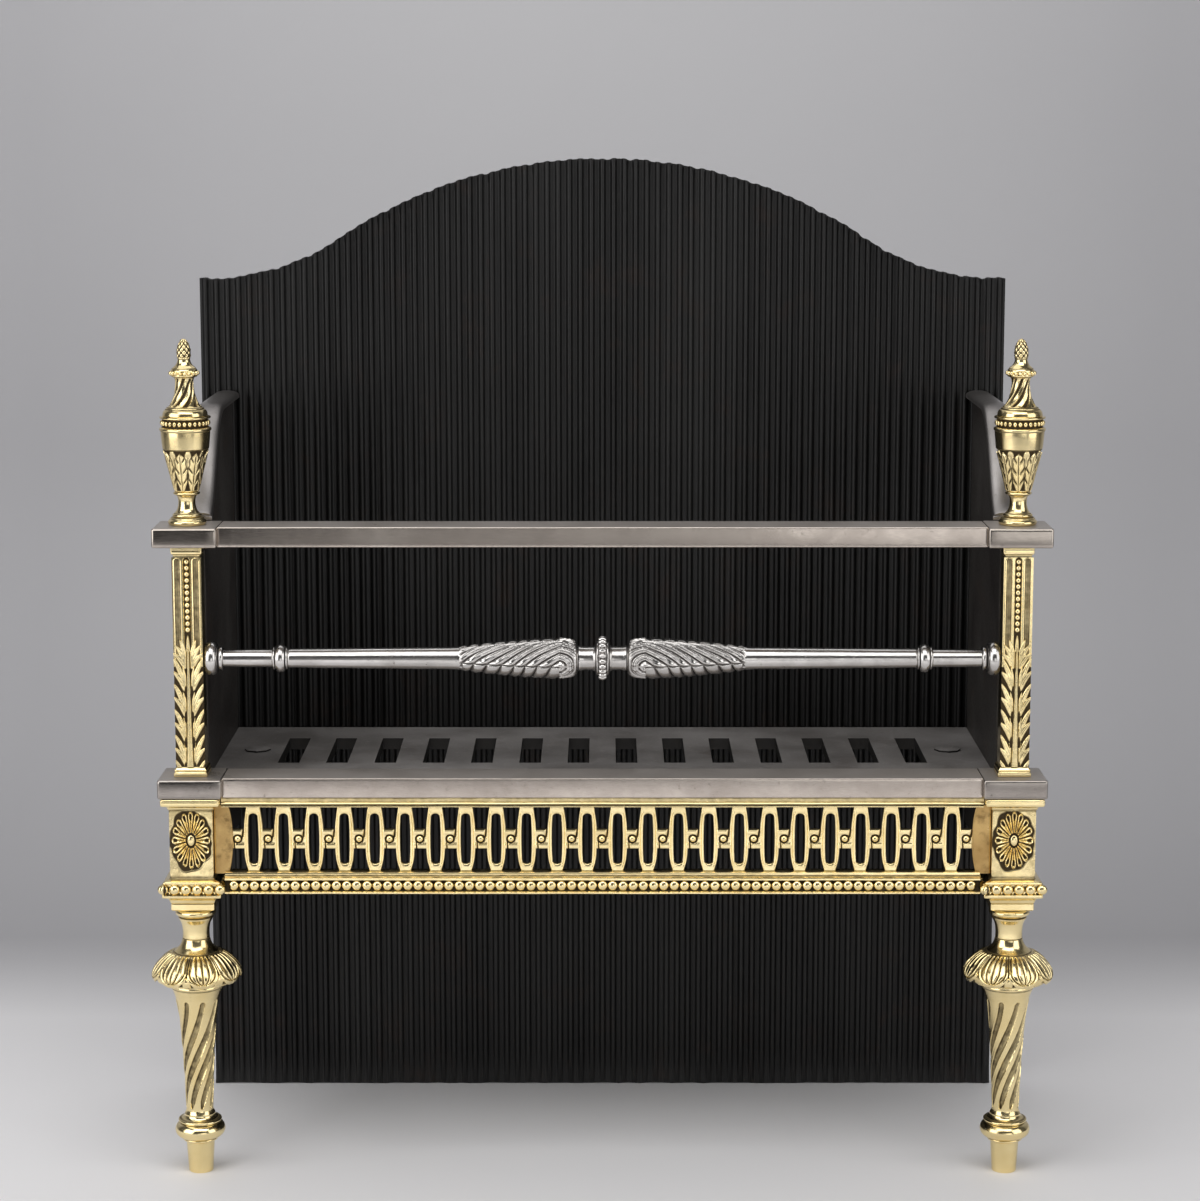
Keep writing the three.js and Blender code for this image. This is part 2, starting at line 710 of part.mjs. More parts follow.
// End block of a rail, bored for the rod and mortised for the bar and the cheek
function endBlock(railZ) {
  const options = {
    depth: railThickness - 2 * blockChamfer, bevelSize: blockChamfer,
    bevelThickness: blockChamfer, bevelOffset: -blockChamfer, bevelSegments: 1,
  };
  const plan = chamferedOutline(blockWidth / 2, blockDepth / 2, blockChamfer);
  const geometry = new THREE.ExtrudeGeometry(plan, options);
  const body = solid(geometry.translate(axisX, axisY, railZ + blockChamfer));
  const innerX = axisX - blockWidth / 2;
  const [lowZ, highZ] = tenonSpan(railZ, seat);
  const barMortise = box(
    [innerX - overrun, barSetback + tenonShoulder - seat, lowZ],
    [innerX + tenonLength + seat, barBackY - tenonShoulder + seat, highZ],
  );
  const cheekMortise = box(
    [cheekInnerX - seat, blockDepth - tenonLength - seat, lowZ],
    [cheekInnerX + cheekThickness + seat, blockDepth + overrun, highZ],
  );
  const hole = rodHole(railZ - overrun, railZ + railThickness + overrun);
  return cutBy(body, [barMortise, cheekMortise, hole.translate([axisX, axisY, 0])]);
}

// Flat bar between the end blocks, with a tenon at each end
function railBar(railZ) {
  const half = axisX - blockWidth / 2 - seat;
  const body = box([-half, barSetback, railZ], [half, barBackY, railZ + railThickness]);
  const [lowZ, highZ] = tenonSpan(railZ, 0);
  const reach = half + tenonLength;
  return body.add(box(
    [-reach, barSetback + tenonShoulder, lowZ],
    [reach, barBackY - tenonShoulder, highZ],
  ));
}

// Swept upper edge of the cheek, from the top rail to the shoulder
function cheekSweep() {
  const start = new THREE.Vector2(cheekFrontY, topRailZ + railThickness);
  const end = new THREE.Vector2(cheekShoulderY, cheekTopZ);
  const between = ([depthShare, heightShare]) => new THREE.Vector2(
    THREE.MathUtils.lerp(start.x, end.x, depthShare),
    THREE.MathUtils.lerp(start.y, end.y, heightShare),
  );
  const { leave, arrive } = cheekSweepShares;
  return new THREE.CubicBezierCurve(start, between(leave), between(arrive), end);
}

// Height of a bolt through the cheek's flange
const backBoltZ = (share) => THREE.MathUtils.lerp(cheekFootZ, cheekTopZ, share);
const backBoltX = cheekInnerX + cheekThickness + flangeWidth / 2;

// Piece turned about a bolt's axis, moved so that the axis runs from back to front
const alongDepth = (body, share) =>
  body.rotate([90, 0, 0]).translate([backBoltX, firebackBackY, backBoltZ(share)]);

// Cheek: side plate with tenons in front, a flange behind and a ledge for the grate
function cheek() {
  const outerX = cheekInnerX + cheekThickness;
  const outline = [
    new THREE.Vector2(cheekFrontY, cheekFootZ),
    ...cheekSweep().getPoints(capSteps),
    new THREE.Vector2(cheekBackY, cheekTopZ),
    new THREE.Vector2(cheekBackY, cheekFootZ),
  ];
  let body = strip(new THREE.Shape(outline), cheekInnerX, outerX);
  for (const railZ of [lowerRailZ, topRailZ]) {
    const [lowZ, highZ] = tenonSpan(railZ, 0);
    const tenon = [cheekInnerX, blockDepth - tenonLength, lowZ];
    body = body.add(box(tenon, [outerX, cheekFrontY + overrun, highZ]));
  }
  const flange = [outerX - overrun, cheekBackY - flangeThickness, cheekFootZ];
  const flangeTopZ = cheekTopZ - flangeTopDrop;
  body = body.add(box(flange, [outerX + flangeWidth, cheekBackY, flangeTopZ]));
  body = body.add(slab(ledgeOutline(), ledgeZ, ledgeThickness));
  const ledgeTopZ = ledgeZ + ledgeThickness;
  const hole = cylinder(grateBoltRadius + seat, ledgeZ - overrun, ledgeTopZ + overrun);
  body = body.subtract(hole.translate([grateBoltX, grateSlotY, 0]));
  for (const share of backBoltShares) body = body.subtract(alongDepth(backBolt(seat), share));
  return body;
}

// Ledge along the cheek, spreading into a round lug under the grate's bolt
function ledgeOutline() {
  const wallX = cheekInnerX + cheekThickness / 2;
  const edgeX = cheekInnerX - ledgeWidth;
  const top = Math.PI / 2;
  const tip = arcPoints(grateBoltX, grateSlotY, lugRadius, top, top + Math.PI, lugSteps);
  return outlineOf([
    [wallX, cheekFrontY], [wallX, cheekBackY], [edgeX, cheekBackY],
    [edgeX, grateSlotY + lugRadius], ...tip, [edgeX, grateSlotY - lugRadius],
    [edgeX, cheekFrontY],
  ]);
}

// Half-round steel strap that caps the cheek's upper edge
function cheekCap() {
  const sweep = cheekSweep();
  const stations = [];
  for (let i = 0; i <= capSteps; i++) {
    const at = sweep.getPoint(i / capSteps);
    const tangent = sweep.getTangent(i / capSteps);
    stations.push({ at, normal: new THREE.Vector2(-tangent.y, tangent.x) });
  }
  stations.push({ at: new THREE.Vector2(cheekBackY, cheekTopZ), normal: new THREE.Vector2(0, 1) });
  stations[0].normal.set(0, 1);
  const middleX = cheekInnerX + cheekThickness / 2;
  const rings = stations.map(({ at, normal }) => capSectionShares.map(([across, up]) => {
    const rise = seat + up * capThickness;
    const y = at.x + normal.x * rise;
    return new THREE.Vector3(middleX + across * capWidth, y, at.y + normal.y * rise);
  }));
  return loft(rings);
}

// Slotted grate plate
function gratePlate() {
  const half = cheekInnerX - seat;
  const plan = outlineOf([
    [-half, cheekFrontY], [half, cheekFrontY], [half, cheekBackY], [-half, cheekBackY],
  ]);
  const lowZ = grateZ - overrun;
  const highZ = grateZ + grateThickness + overrun;
  const cutters = [-grateBoltX, grateBoltX].map((x) =>
    cylinder(grateBoltRadius + seat, lowZ, highZ).translate([x, grateSlotY, 0]));
  for (let i = 0; i < grateSlots; i++) {
    const leftX = (i - (grateSlots - 1) / 2) * grateSlotPitch - grateSlotWidth / 2;
    const frontY = grateSlotY - grateSlotLength / 2;
    cutters.push(box(
      [leftX, frontY, lowZ],
      [leftX + grateSlotWidth, frontY + grateSlotLength, highZ],
    ));
  }
  return cutBy(slab(plan, grateZ, grateThickness), cutters);
}

// Round-headed bolt that holds the grate down
function grateBolt() {
  const lengthBelow = grateThickness + ledgeThickness + nutHeight + threadEnd + 3 * seat;
  return turned([
    new THREE.Vector2(grateBoltRadius, -lengthBelow),
    new THREE.Vector2(grateBoltRadius, 0),
    new THREE.Vector2(grateHeadRadius, 0),
    new THREE.Vector2(grateHeadRadius, grateHeadRise / 2),
    new THREE.Vector2(grateHeadRadius / 2, grateHeadRise),
  ], boltSides);
}

// Square nut, bored for a bolt
function nut(half, radius, baseZ) {
  const topZ = baseZ + nutHeight;
  const hole = cylinder(radius + seat, baseZ - overrun, topZ + overrun);
  return box([-half, -half, baseZ], [half, half, topZ]).subtract(hole);
}

// Countersunk bolt through fireback and flange; its head lies flush with the back
function backBolt(grow) {
  const shank = backBoltRadius + grow;
  const head = backHeadRadius + grow;
  const length = firebackThickness + flangeThickness + nutHeight + threadEnd + 2 * seat;
  return turned([
    new THREE.Vector2(head, seat - 2 * grow),
    new THREE.Vector2(head, seat),
    new THREE.Vector2(shank, backHeadDepth),
    new THREE.Vector2(shank, length),
  ], boltSides);
}

// Plan of the reeded plate
function reededPlan() {
  const pitch = (2 * firebackHalf) / reedCount;
  const front = [];
  for (let i = 0; i < reedCount; i++) {
    for (const [across, back] of reedShares) {
      front.push([(i + across) * pitch - firebackHalf, firebackFrontY + back * reedDepth]);
    }
  }
  front.push([firebackHalf, firebackFrontY + reedDepth]);
  return outlineOf([...front, [firebackHalf, firebackBackY], [-firebackHalf, firebackBackY]]);
}

// Elevation of the fireback: straight sides, hollow shoulders and a round crown
function archedElevation() {
  const shoulderX = firebackHalf - archShoulderFlat;
  const radii = (shoulderX ** 2 + firebackRise ** 2) / (2 * firebackRise);
  const shoulderRadius = radii - archCrownRadius;
  const lean = Math.asin(shoulderX / radii);
  const shoulderZ = firebackCornerZ + shoulderRadius;
  const crownZ = firebackCornerZ + firebackRise - archCrownRadius;
  const down = -Math.PI / 2;
  const up = Math.PI / 2;
  const outline = new THREE.Shape();
  outline.moveTo(-firebackHalf, 0);
  outline.lineTo(firebackHalf, 0);
  outline.lineTo(firebackHalf, firebackCornerZ);
  outline.absarc(shoulderX, shoulderZ, shoulderRadius, down, down - lean, true);
  outline.absarc(0, crownZ, archCrownRadius, up - lean, up + lean, false);
  outline.absarc(-shoulderX, shoulderZ, shoulderRadius, down + lean, down, true);
  outline.lineTo(-firebackHalf, firebackCornerZ);
  outline.closePath();
  return outline;
}

// Reeded fireback cut to its arched outline and drilled for the cheek bolts
function fireback() {
  const height = firebackCornerZ + firebackRise + overrun;
  const reeded = slab(reededPlan(), -overrun, height + overrun);
  const depth = firebackThickness + 2 * overrun;
  const elevation = upright(archedElevation(), firebackFrontY - overrun, depth);
  let body = reeded.intersect(elevation);
  for (const share of backBoltShares) {
    const hole = alongDepth(backBolt(seat), share);
    body = body.subtract(hole).subtract(hole.mirror([1, 0, 0]));
  }
  return body;
}

place("fireback", fireback(), castIron);
placePair("cheek", cheek(), castIron);
placePair("cheek_cap", cheekCap(), steel);
place("grate_plate", gratePlate(), castIron);
const grateBoltAt = [grateBoltX, grateSlotY, grateZ + grateThickness + seat];
placePair("grate_bolt", grateBolt().translate(grateBoltAt), wroughtIron);
const grateNut = nut(grateNutHalf, grateBoltRadius, ledgeZ - seat - nutHeight);
placePair("grate_nut", grateNut.translate([grateBoltX, grateSlotY, 0]), wroughtIron);
const backNutSeat = firebackThickness + flangeThickness + 2 * seat;
for (const [level, share] of [["lower", backBoltShares[0]], ["upper", backBoltShares[1]]]) {
  const backNut = nut(backNutHalf, backBoltRadius, backNutSeat);
  placePair(level + "_back_bolt", alongDepth(backBolt(0), share), wroughtIron);
  placePair(level + "_back_nut", alongDepth(backNut, share), wroughtIron);
}

place("top_bar", railBar(topRailZ), steel);
placePair("top_block", endBlock(topRailZ), steel);
place("lower_bar", railBar(lowerRailZ), steel);
placePair("lower_block", endBlock(lowerRailZ), steel);
place("turned_bar", turnedBar(), brightSteel);

place("fret_panel", fretPanel(), brass);
place("fret_top_moulding", topMoulding(), brass);
place("fret_bead_moulding", beadMoulding(), brass);

placeAlike("leg_toe", legToe(), 0, brass);
placeAlike("leg_shaft", legShaft(), shaftZ, brass);
placeAlike("leg_knop", legKnop(), knopZ, brass);
placeAlike("leg_capital", legCapital(), capitalZ, brass);
placePair("die", die().translate([axisX, axisY, dieZ]), brass);
const rosetteY = axisY - dieHalf - rosetteThickness - seat;
const rosetteZ = openingFootZ + openingHeight / 2;
placePair("rosette", rosette().translate([axisX, rosetteY, rosetteZ]), brass);
placePair("column", column().translate([axisX, axisY, columnZ]), brass);
placeAlike("finial_socle", socle(), socleZ, brass);
placeAlike("finial_urn", urn(), urnZ, brass);
placeAlike("finial_cover", cover(), coverZ, brass);
placeAlike("tie_rod", tieRod(), 0, wroughtIron);

// The origin is the middle of the plan, on the floor
const bounds = new THREE.Box3().setFromObject(basket);
basket.position.y = -(bounds.min.y + bounds.max.y) / 2;

export default part;
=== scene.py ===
"""Looks of the fire basket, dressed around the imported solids. Lengths in tables are millimetres."""
import math

import bmesh
import bpy
import numpy as np
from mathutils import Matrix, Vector


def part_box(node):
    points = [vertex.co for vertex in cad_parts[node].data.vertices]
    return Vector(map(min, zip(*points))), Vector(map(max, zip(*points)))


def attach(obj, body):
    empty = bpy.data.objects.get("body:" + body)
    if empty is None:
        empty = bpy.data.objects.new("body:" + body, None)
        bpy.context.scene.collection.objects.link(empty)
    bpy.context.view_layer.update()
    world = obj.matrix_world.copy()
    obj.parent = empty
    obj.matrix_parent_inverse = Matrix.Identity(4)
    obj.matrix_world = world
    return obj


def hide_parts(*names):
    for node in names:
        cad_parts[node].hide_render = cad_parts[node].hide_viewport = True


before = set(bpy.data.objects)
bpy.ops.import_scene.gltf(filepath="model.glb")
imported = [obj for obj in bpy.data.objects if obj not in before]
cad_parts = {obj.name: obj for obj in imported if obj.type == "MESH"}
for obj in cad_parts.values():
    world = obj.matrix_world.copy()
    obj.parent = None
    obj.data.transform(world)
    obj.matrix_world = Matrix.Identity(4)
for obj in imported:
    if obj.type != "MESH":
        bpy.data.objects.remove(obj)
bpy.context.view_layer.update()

MM = 0.001
TAU = 2 * math.pi
QUARTER = math.pi / 2
FRONT = -QUARTER
TINY = 0.0001
SIDES = 96
STEP = 0.7
SHARP = math.radians(38)
SHARP_STRAP = math.radians(60)
SHARP_REEDS = math.radians(75)


# Places of the solids, in millimetres

def box_of(node):
    low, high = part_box(node)
    return np.array(low) / MM, np.array(high) / MM


def middle(node):
    low, high = box_of(node)
    return (low + high) / 2


FRONT_Y = box_of("right_top_block")[0][1]
AXIS_X = middle("right_leg_toe")[0]
AXIS_Y = middle("right_leg_toe")[1]
SIDE_NAMES = (("right_", 1), ("left_", -1))


# Small maths on arrays

def unit(value):
    return np.clip(value, 0, 1)


def smooth(low, high, value):
    share = unit((value - low) / (high - low))
    return share * share * (3 - 2 * share)


def bump(value, centre, width):
    return np.exp(-((value - centre) / width) ** 2)


def dome(value, width):
    return np.sqrt(unit(1 - (value / width) ** 2))


def tip(value, start, length):
    """One up to the start, then rounded off to nothing over the length."""
    return dome(np.maximum(value - start, 0), length)


def folded(value, pitch):
    """Signed distance to the nearest of evenly spaced lines."""
    return (value + pitch / 2) % pitch - pitch / 2


def darkest(*layers):
    return np.maximum.reduce(layers)


def dark_at(z, *lines):
    """Recess of dark lines of (height, depth, width)."""
    return sum(depth * bump(z, height, width) for height, depth, width in lines)


# Chunks of mesh: (points, faces, recess), joined into named pieces

def neighbours(count):
    return [(i, (i + 1) % count) for i in range(count)]


def ring_angles(count):
    return np.arange(count) / count * TAU


def grid_faces(rows, columns, wrap):
    sides = neighbours(columns) if wrap else neighbours(columns)[:-1]
    return [(row + i, row + j, row + j + columns, row + i + columns)
            for row in range(0, (rows - 1) * columns, columns) for i, j in sides]


def closed_rings(points, columns, recess):
    """Rings joined into a tube and closed by a fan at each end."""
    low = len(points)
    faces = grid_faces(low // columns, columns, True)
    top = low - columns
    for i, j in neighbours(columns):
        faces += [(low, j, i), (low + 1, top + i, top + j)]
    points = np.vstack((points, points[:columns].mean(axis=0), points[-columns:].mean(axis=0)))
    recess = np.concatenate((recess, [recess[:columns].mean(), recess[-columns:].mean()]))
    return points, faces, recess


def arc(start, station, step):
    end = np.array(station[:2], float)
    bow = station[2] if len(station) > 2 else 0
    chord = np.linalg.norm(end - start)
    steps = max(6 if bow else 2, math.ceil(chord * (1 + abs(bow)) / step))
    share = np.arange(1, steps + 1)[:, None] / steps
    points = start + (end - start) * share
    if bow:
        rise = abs(bow) * chord
        radius = (chord ** 2 / 4 + rise ** 2) / (2 * rise)
        height = np.sqrt(np.maximum(radius ** 2 - (chord * (share - 0.5)) ** 2, 0)) - (radius - rise)
        along = (end - start) / chord
        points += height * np.array((along[1], -along[0])) * math.copysign(1, bow)
    return points


def curve(start, stations, step):
    knots = np.array([start, *stations])
    ends = np.vstack((2 * knots[0] - knots[1], knots, 2 * knots[-1] - knots[-2]))
    points = []
    for i in range(len(stations)):
        before, start, end, after = ends[i:i + 4]
        steps = max(2, math.ceil(np.linalg.norm(end - start) / step))
        t = np.arange(1, steps + 1)[:, None] / steps
        points.append(0.5 * (2 * start + (end - before) * t
                             + (2 * before - 5 * start + 4 * end - after) * t ** 2
                             + (3 * start - before - 3 * end + after) * t ** 3))
    return np.vstack(points)


def outline(*stations):
    """Points along stations of (radius, height, bow): the bow is the rise of the arc that leads to the
    station, as a share of its chord, positive away from the axis. A list holds the stations of one
    smooth curve, and a number sets the step from there on."""
    step = STEP
    runs = [np.array([stations[0]], float)]
    for station in stations[1:]:
        if isinstance(station, (int, float)):
            step = station
        else:
            run = curve if isinstance(station, list) else arc
            runs.append(run(runs[-1][-1], station, step))
    return np.vstack(runs)


def rotate2(x, y, angle):
    return (x * math.cos(angle) - y * math.sin(angle), x * math.sin(angle) + y * math.cos(angle))


def turned(points, relief, sides=SIDES):
    """Surface turned about Z; relief(angle, height, radius) gives a rise and a recess."""
    tangent = np.gradient(points, axis=0)
    tangent /= np.maximum(np.linalg.norm(tangent, axis=1), 1e-6)[:, None]
    angle, radius = np.meshgrid(ring_angles(sides), points[:, 0])
    height = np.repeat(points[:, 1:], sides, axis=1)
    rise, recess = relief(angle, height, radius)
    radius = radius + rise * tangent[:, 1:]
    height = height - rise * tangent[:, :1]
    xyz = np.stack((radius * np.cos(angle), radius * np.sin(angle), height), axis=2)
    return closed_rings(xyz.reshape(-1, 3), sides, recess.reshape(-1))


def plain(*lines):
    """Relief of a smooth casting, with dark lines where its mouldings meet."""
    return lambda angle, z, radius: (0 * z, dark_at(z, *lines))


def squared(points, rounding):
    """Outline carried round a square with rounded corners; radii are half widths."""
    edge = 1 - 2 * rounding
    side = [(across, -1) for across in np.linspace(-edge, edge, 12)]
    for turn in (QUARTER / 4, QUARTER / 2, QUARTER * 3 / 4):
        side.append((edge + 2 * rounding * math.sin(turn), -edge - 2 * rounding * math.cos(turn)))
    ring = np.array([rotate2(*point, turn * QUARTER) for turn in range(4) for point in side])
    rings = [np.column_stack((ring * radius, np.full(len(ring), height))) for radius, height in points]
    return closed_rings(np.vstack(rings), len(ring), np.zeros(len(points) * len(ring)))


def sphere(centre, radius, columns=14, rows=9, scale=(1, 1, 1)):
    """Ball whose poles lie front and back, with painted shade behind its widest ring."""
    angle, turn = np.meshgrid(ring_angles(columns), np.linspace(0, math.pi, rows))
    ring = np.maximum(np.sin(turn), 0.01)
    ball = np.stack((ring * np.cos(angle), -np.cos(turn), -ring * np.sin(angle)), axis=2).reshape(-1, 3)
    points = ball * radius * np.array(scale) + np.array(centre)
    # The recess here is painted shade on the back half of the ball, where it meets its ground.
    return points, grid_faces(rows, columns, True), smooth(-0.15, 0.4, ball[:, 1])


def swung(chunk, offset, angle):
    """Chunk set off from the origin and then swung round Z."""
    points, faces, recess = moved(chunk, offset)
    x, y = rotate2(points[:, 0], points[:, 1], angle)
    return np.column_stack((x, y, points[:, 2])), faces, recess


def bead_ring(count, ring_radius, height, radius, scale=(1, 1, 1)):
    """Beads round Z, each with its front pole turned outwards."""
    ball = sphere((0, 0, 0), radius, 10, 7, scale)
    return [swung(ball, (0, -ring_radius, height), TAU * (i + 0.5) / count) for i in range(count)]


def backed(face, recess, back_y, back_recess):
    """Grid of points closed by its sides and a flat back."""
    rows, columns = recess.shape
    points = face.reshape(-1, 3)
    number = np.arange(rows * columns).reshape(rows, columns)
    rim = [*number[0], *number[1:, -1], *number[-1, -2::-1], *number[-2:0:-1, 0]]
    behind = points[rim]
    behind[:, 1] = back_y
    start = len(points)
    faces = grid_faces(rows, columns, False)
    faces += [(rim[j], rim[i], start + i, start + j) for i, j in neighbours(len(rim))]
    faces.append(tuple(range(start, start + len(rim))))
    recess = np.concatenate((recess.reshape(-1), np.full(len(rim), back_recess)))
    return np.vstack((points, behind)), faces, recess


def panel(xs, zs, front_y, relief, back):
    """Relief facing the front over a rectangle."""
    x, z = np.meshgrid(xs, zs)
    rise, recess = relief(x, z)
    return backed(np.stack((x, front_y - rise, z), axis=2), recess, front_y + back, 1)


def moved(chunk, offset):
    points, faces, recess = chunk
    return points + np.array(offset), faces, recess


def mirrored(chunk):
    points, faces, recess = chunk
    return points * np.array((-1, 1, 1)), [face[::-1] for face in faces], recess


def lying(chunk, centre):
    """Piece turned about Z laid along X."""
    points, faces, recess = chunk
    return points[:, [2, 0, 1]] + np.array(centre), faces, recess


def linked(name, data):
    thing = bpy.data.objects.new(name, data)
    bpy.context.scene.collection.objects.link(thing)
    return thing


def piece(name, chunks, material, nodes, sharp=SHARP):
    """One named object of several chunks, standing for its solids."""
    points = []
    faces = []
    recess = []
    start = 0
    for chunk_points, chunk_faces, chunk_recess in chunks:
        points.append(chunk_points * MM)
        faces += [tuple(i + start for i in face) for face in chunk_faces]
        recess.append(chunk_recess)
        start += len(chunk_points)
    mesh = bpy.data.meshes.new(name)
    mesh.from_pydata(np.vstack(points).tolist(), [], faces)
    # Per-point recess: patina in hollows, and painted shade on bead backs, flute hollows, reed flanks and the
    # carved bar's upper leaves.
    layer = mesh.attributes.new("recess", "FLOAT", "POINT")
    layer.data.foreach_set("value", unit(np.concatenate(recess)).astype(np.float32))
    mesh.validate()
    mesh.polygons.foreach_set("use_smooth", [True] * len(mesh.polygons))
    mesh.set_sharp_from_angle(angle=sharp)
    mesh.materials.append(material)
    thing = linked(name, mesh)
    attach(thing, "root")
    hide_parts(*nodes)
    return thing


# Materials

class Nodes:
    """Short names for building a material's nodes."""

    def __init__(self, name):
        self.material = bpy.data.materials.new(name)
        self.material.use_nodes = True
        self.tree = self.material.node_tree
        self.shader = self.tree.nodes["Principled BSDF"]
        self.place = self.new("TexCoord").outputs["Object"]

    def feed(self, socket, value):
        """Link a socket, or set it; a colour gets its fourth value."""
        if isinstance(value, bpy.types.NodeSocket):
            self.tree.links.new(value, socket)
        else:
            socket.default_value = (*value, 1) if socket.type == "RGBA" else value

    def fill(self, sockets, *values):
        for socket, value in zip(sockets, values):
            self.feed(socket, value)

    def new(self, kind, **inputs):
        """Node with inputs by name, where a low line stands for a space."""
        node = self.tree.nodes.new("ShaderNode" + kind)
        for name, value in inputs.items():
            self.feed(node.inputs[name.replace("_", " ")], value)
        return node

    def noise(self, scale, detail, rough, stretch=None, distortion=0):
        place = self.place
        if stretch:
            place = self.new("Mapping", Vector=place, Scale=stretch).outputs["Vector"]
        return self.new("TexNoise", Vector=place, Scale=scale, Detail=detail, Roughness=rough,
                        Distortion=distortion).outputs["Fac"]

    def range(self, value, low, high, to_low=0, to_high=1):
        return self.new("MapRange", Value=value, From_Min=low, From_Max=high, To_Min=to_low,
                        To_Max=to_high).outputs["Result"]

    def math(self, operation, first, second):
        node = self.new("Math")
        node.operation = operation
        self.fill(node.inputs, first, second)
        return node.outputs[0]

    def add(self, first, second):
        return self.math("ADD", first, second)

    def mix(self, share, first, second):
        node = self.new("Mix")
        node.data_type = "RGBA"
        self.feed(node.inputs[0], share)
        self.fill([socket for socket in node.inputs if socket.type == "RGBA"], first, second)
        return [socket for socket in node.outputs if socket.type == "RGBA"][0]

    def axes(self, vector):
        return self.new("SeparateXYZ", Vector=vector).outputs

    def geometry(self, output):
        return self.new("NewGeometry").outputs[output]

    def upward(self):
        return self.axes(self.geometry("Normal"))["Z"]

    def recess(self):
        node = self.new("Attribute")
        node.attribute_name = "recess"
        return node.outputs["Fac"]

    def bump(self, *layers):
        """Layers of (height, strength, distance), each laid over the one before."""
        below = {}
        for height, strength, distance in layers:
            node = self.new("Bump", Height=height, Strength=strength, Distance=distance * MM, **below)
            below = {"Normal": node.outputs["Normal"]}
        self.feed(self.shader.inputs["Normal"], node.outputs["Normal"])

    def finish(self, colour, roughness, metallic):
        sockets = [self.shader.inputs[name] for name in ("Base Color", "Roughness", "Metallic")]
        self.fill(sockets, colour, roughness, metallic)
        return self.material


def brass(name, light, deep, patina, wear=0, tarnish=0.28):
    """Polished cast brass with dark wax and tarnish left in its recesses; the same darkening carries painted
    shade on the backs of beads and in the flutes.
    """
    n = Nodes(name)
    cloud = n.noise(38, 4, 0.6)
    fine = n.noise(420, 3, 0.6)
    metal = n.mix(n.range(cloud, 0.35, 0.68), light, deep)
    metal = n.mix(n.range(fine, 0.55, 0.8, 0, 0.4), metal, deep)
    # Dark wax in hollows plus painted shade, both read from the recess values.
    wax_and_painted_shade = n.add(n.recess(), n.range(n.noise(160, 4, 0.65), 0.3, 0.75, -0.17, 0.13))
    spots = n.range(n.noise(95, 5, 0.7), 0.63 - 0.1 * wear, 0.8, 0, tarnish)
    dark = n.math("MAXIMUM", n.range(wax_and_painted_shade, 0.16, 0.85), spots)
    rough = n.add(n.range(dark, 0, 1, 0.16 + 0.14 * wear, 0.6), n.range(cloud, 0.3, 0.7, -0.03, 0.06))
    n.bump((fine, 0.14, 0.12), (n.noise(90, 4, 0.6), 0.22, 0.35))
    return n.finish(n.mix(dark, metal, patina), rough, 1)


DUST = (0.34, 0.31, 0.29)
BRUSHING = (1, 14, 14)


def steel(name, light, deep, stain, rough_low, rough_high, cloud_scale=16, dust=0):
    """Burnished steel: cloudy tone, fine brushing along its length, bright worn edges and dusty tops,
    darkened by stains and by painted shade where its recess values are high.
    """
    n = Nodes(name)
    cloud = n.noise(cloud_scale, 5, 0.62, distortion=0.4)
    brushed = n.noise(130, 4, 0.7, stretch=BRUSHING)
    tone = n.mix(n.range(cloud, 0.36, 0.66), light, deep)
    tone = n.mix(n.range(brushed, 0.4, 0.75, 0, 0.45), tone, deep)
    spots = n.range(n.noise(230, 5, 0.75), 0.6, 0.78, 0, 0.75)
    # Stains and spots, plus the recess values, which on the carved bar hold painted shade.
    stain_and_painted_shade = n.math("MAXIMUM", spots, n.range(n.recess(), 0.15, 0.8, 0, 0.95))
    colour = n.mix(stain_and_painted_shade, tone, stain)
    worn = n.range(n.geometry("Pointiness"), 0.515, 0.57, 0, 0.7)
    colour = n.mix(worn, colour, tuple(min(1, c * 1.25) for c in light))
    rough = n.add(n.range(cloud, 0.3, 0.7, rough_low, rough_high), n.range(brushed, 0.3, 0.7, -0.04, 0.06))
    rough = n.add(rough, n.range(stain_and_painted_shade, 0, 1, 0, 0.22))
    metallic = 1
    if dust:
        top = n.range(n.upward(), 0.7, 0.97, 0, dust)
        top = n.math("MULTIPLY", top, n.range(cloud, 0.3, 0.6, 0.6, 1))
        colour = n.mix(top, colour, DUST)
        rough = n.add(rough, n.math("MULTIPLY", top, 0.25))
        metallic = n.range(top, 0, 1, 1, 0.25)
    n.bump((brushed, 0.12, 0.12), (n.noise(60, 4, 0.6), 0.2, 0.3))
    return n.finish(colour, rough, metallic)


SIDE_FACE_BLACK = (0.008, 0.007, 0.006)


def iron(name, light, deep, rust, rough_low, rough_high, grain=260, streak=(1, 1, 1), walls=0):
    """Blackened cast iron: sandy grain, soft sheen and a trace of brown, near black on faces that do not face
    up, with painted shade where its recess values are high.
    """
    n = Nodes(name)
    cloud = n.noise(9, 5, 0.6, stretch=streak)
    sand = n.noise(grain, 5, 0.7)
    tone = n.mix(n.range(cloud, 0.34, 0.68), deep, light)
    tone = n.mix(n.range(sand, 0.56, 0.8, 0, 0.5), tone, tuple(min(1, c * 1.9) for c in light))
    # Dark where the recess values are high: painted shade on the fireback's reed flanks.
    tone = n.mix(n.range(n.recess(), 0.05, 0.95, 0, 0.9), tone, tuple(c * 0.35 for c in deep))
    tone = n.mix(n.range(n.noise(26, 5, 0.7), 0.56, 0.82, 0, 0.6), tone, rust)
    if walls:
        # Faces that do not face up go near black.
        tone = n.mix(n.range(n.upward(), 0.5, 0.9, walls, 0), tone, SIDE_FACE_BLACK)
    rough = n.add(n.range(cloud, 0.3, 0.7, rough_low, rough_high), n.range(sand, 0.3, 0.7, -0.08, 0.1))
    n.bump((sand, 0.4, 0.35), (n.noise(48, 4, 0.6, stretch=streak), 0.35, 0.8))
    return n.finish(tone, rough, 0.55)


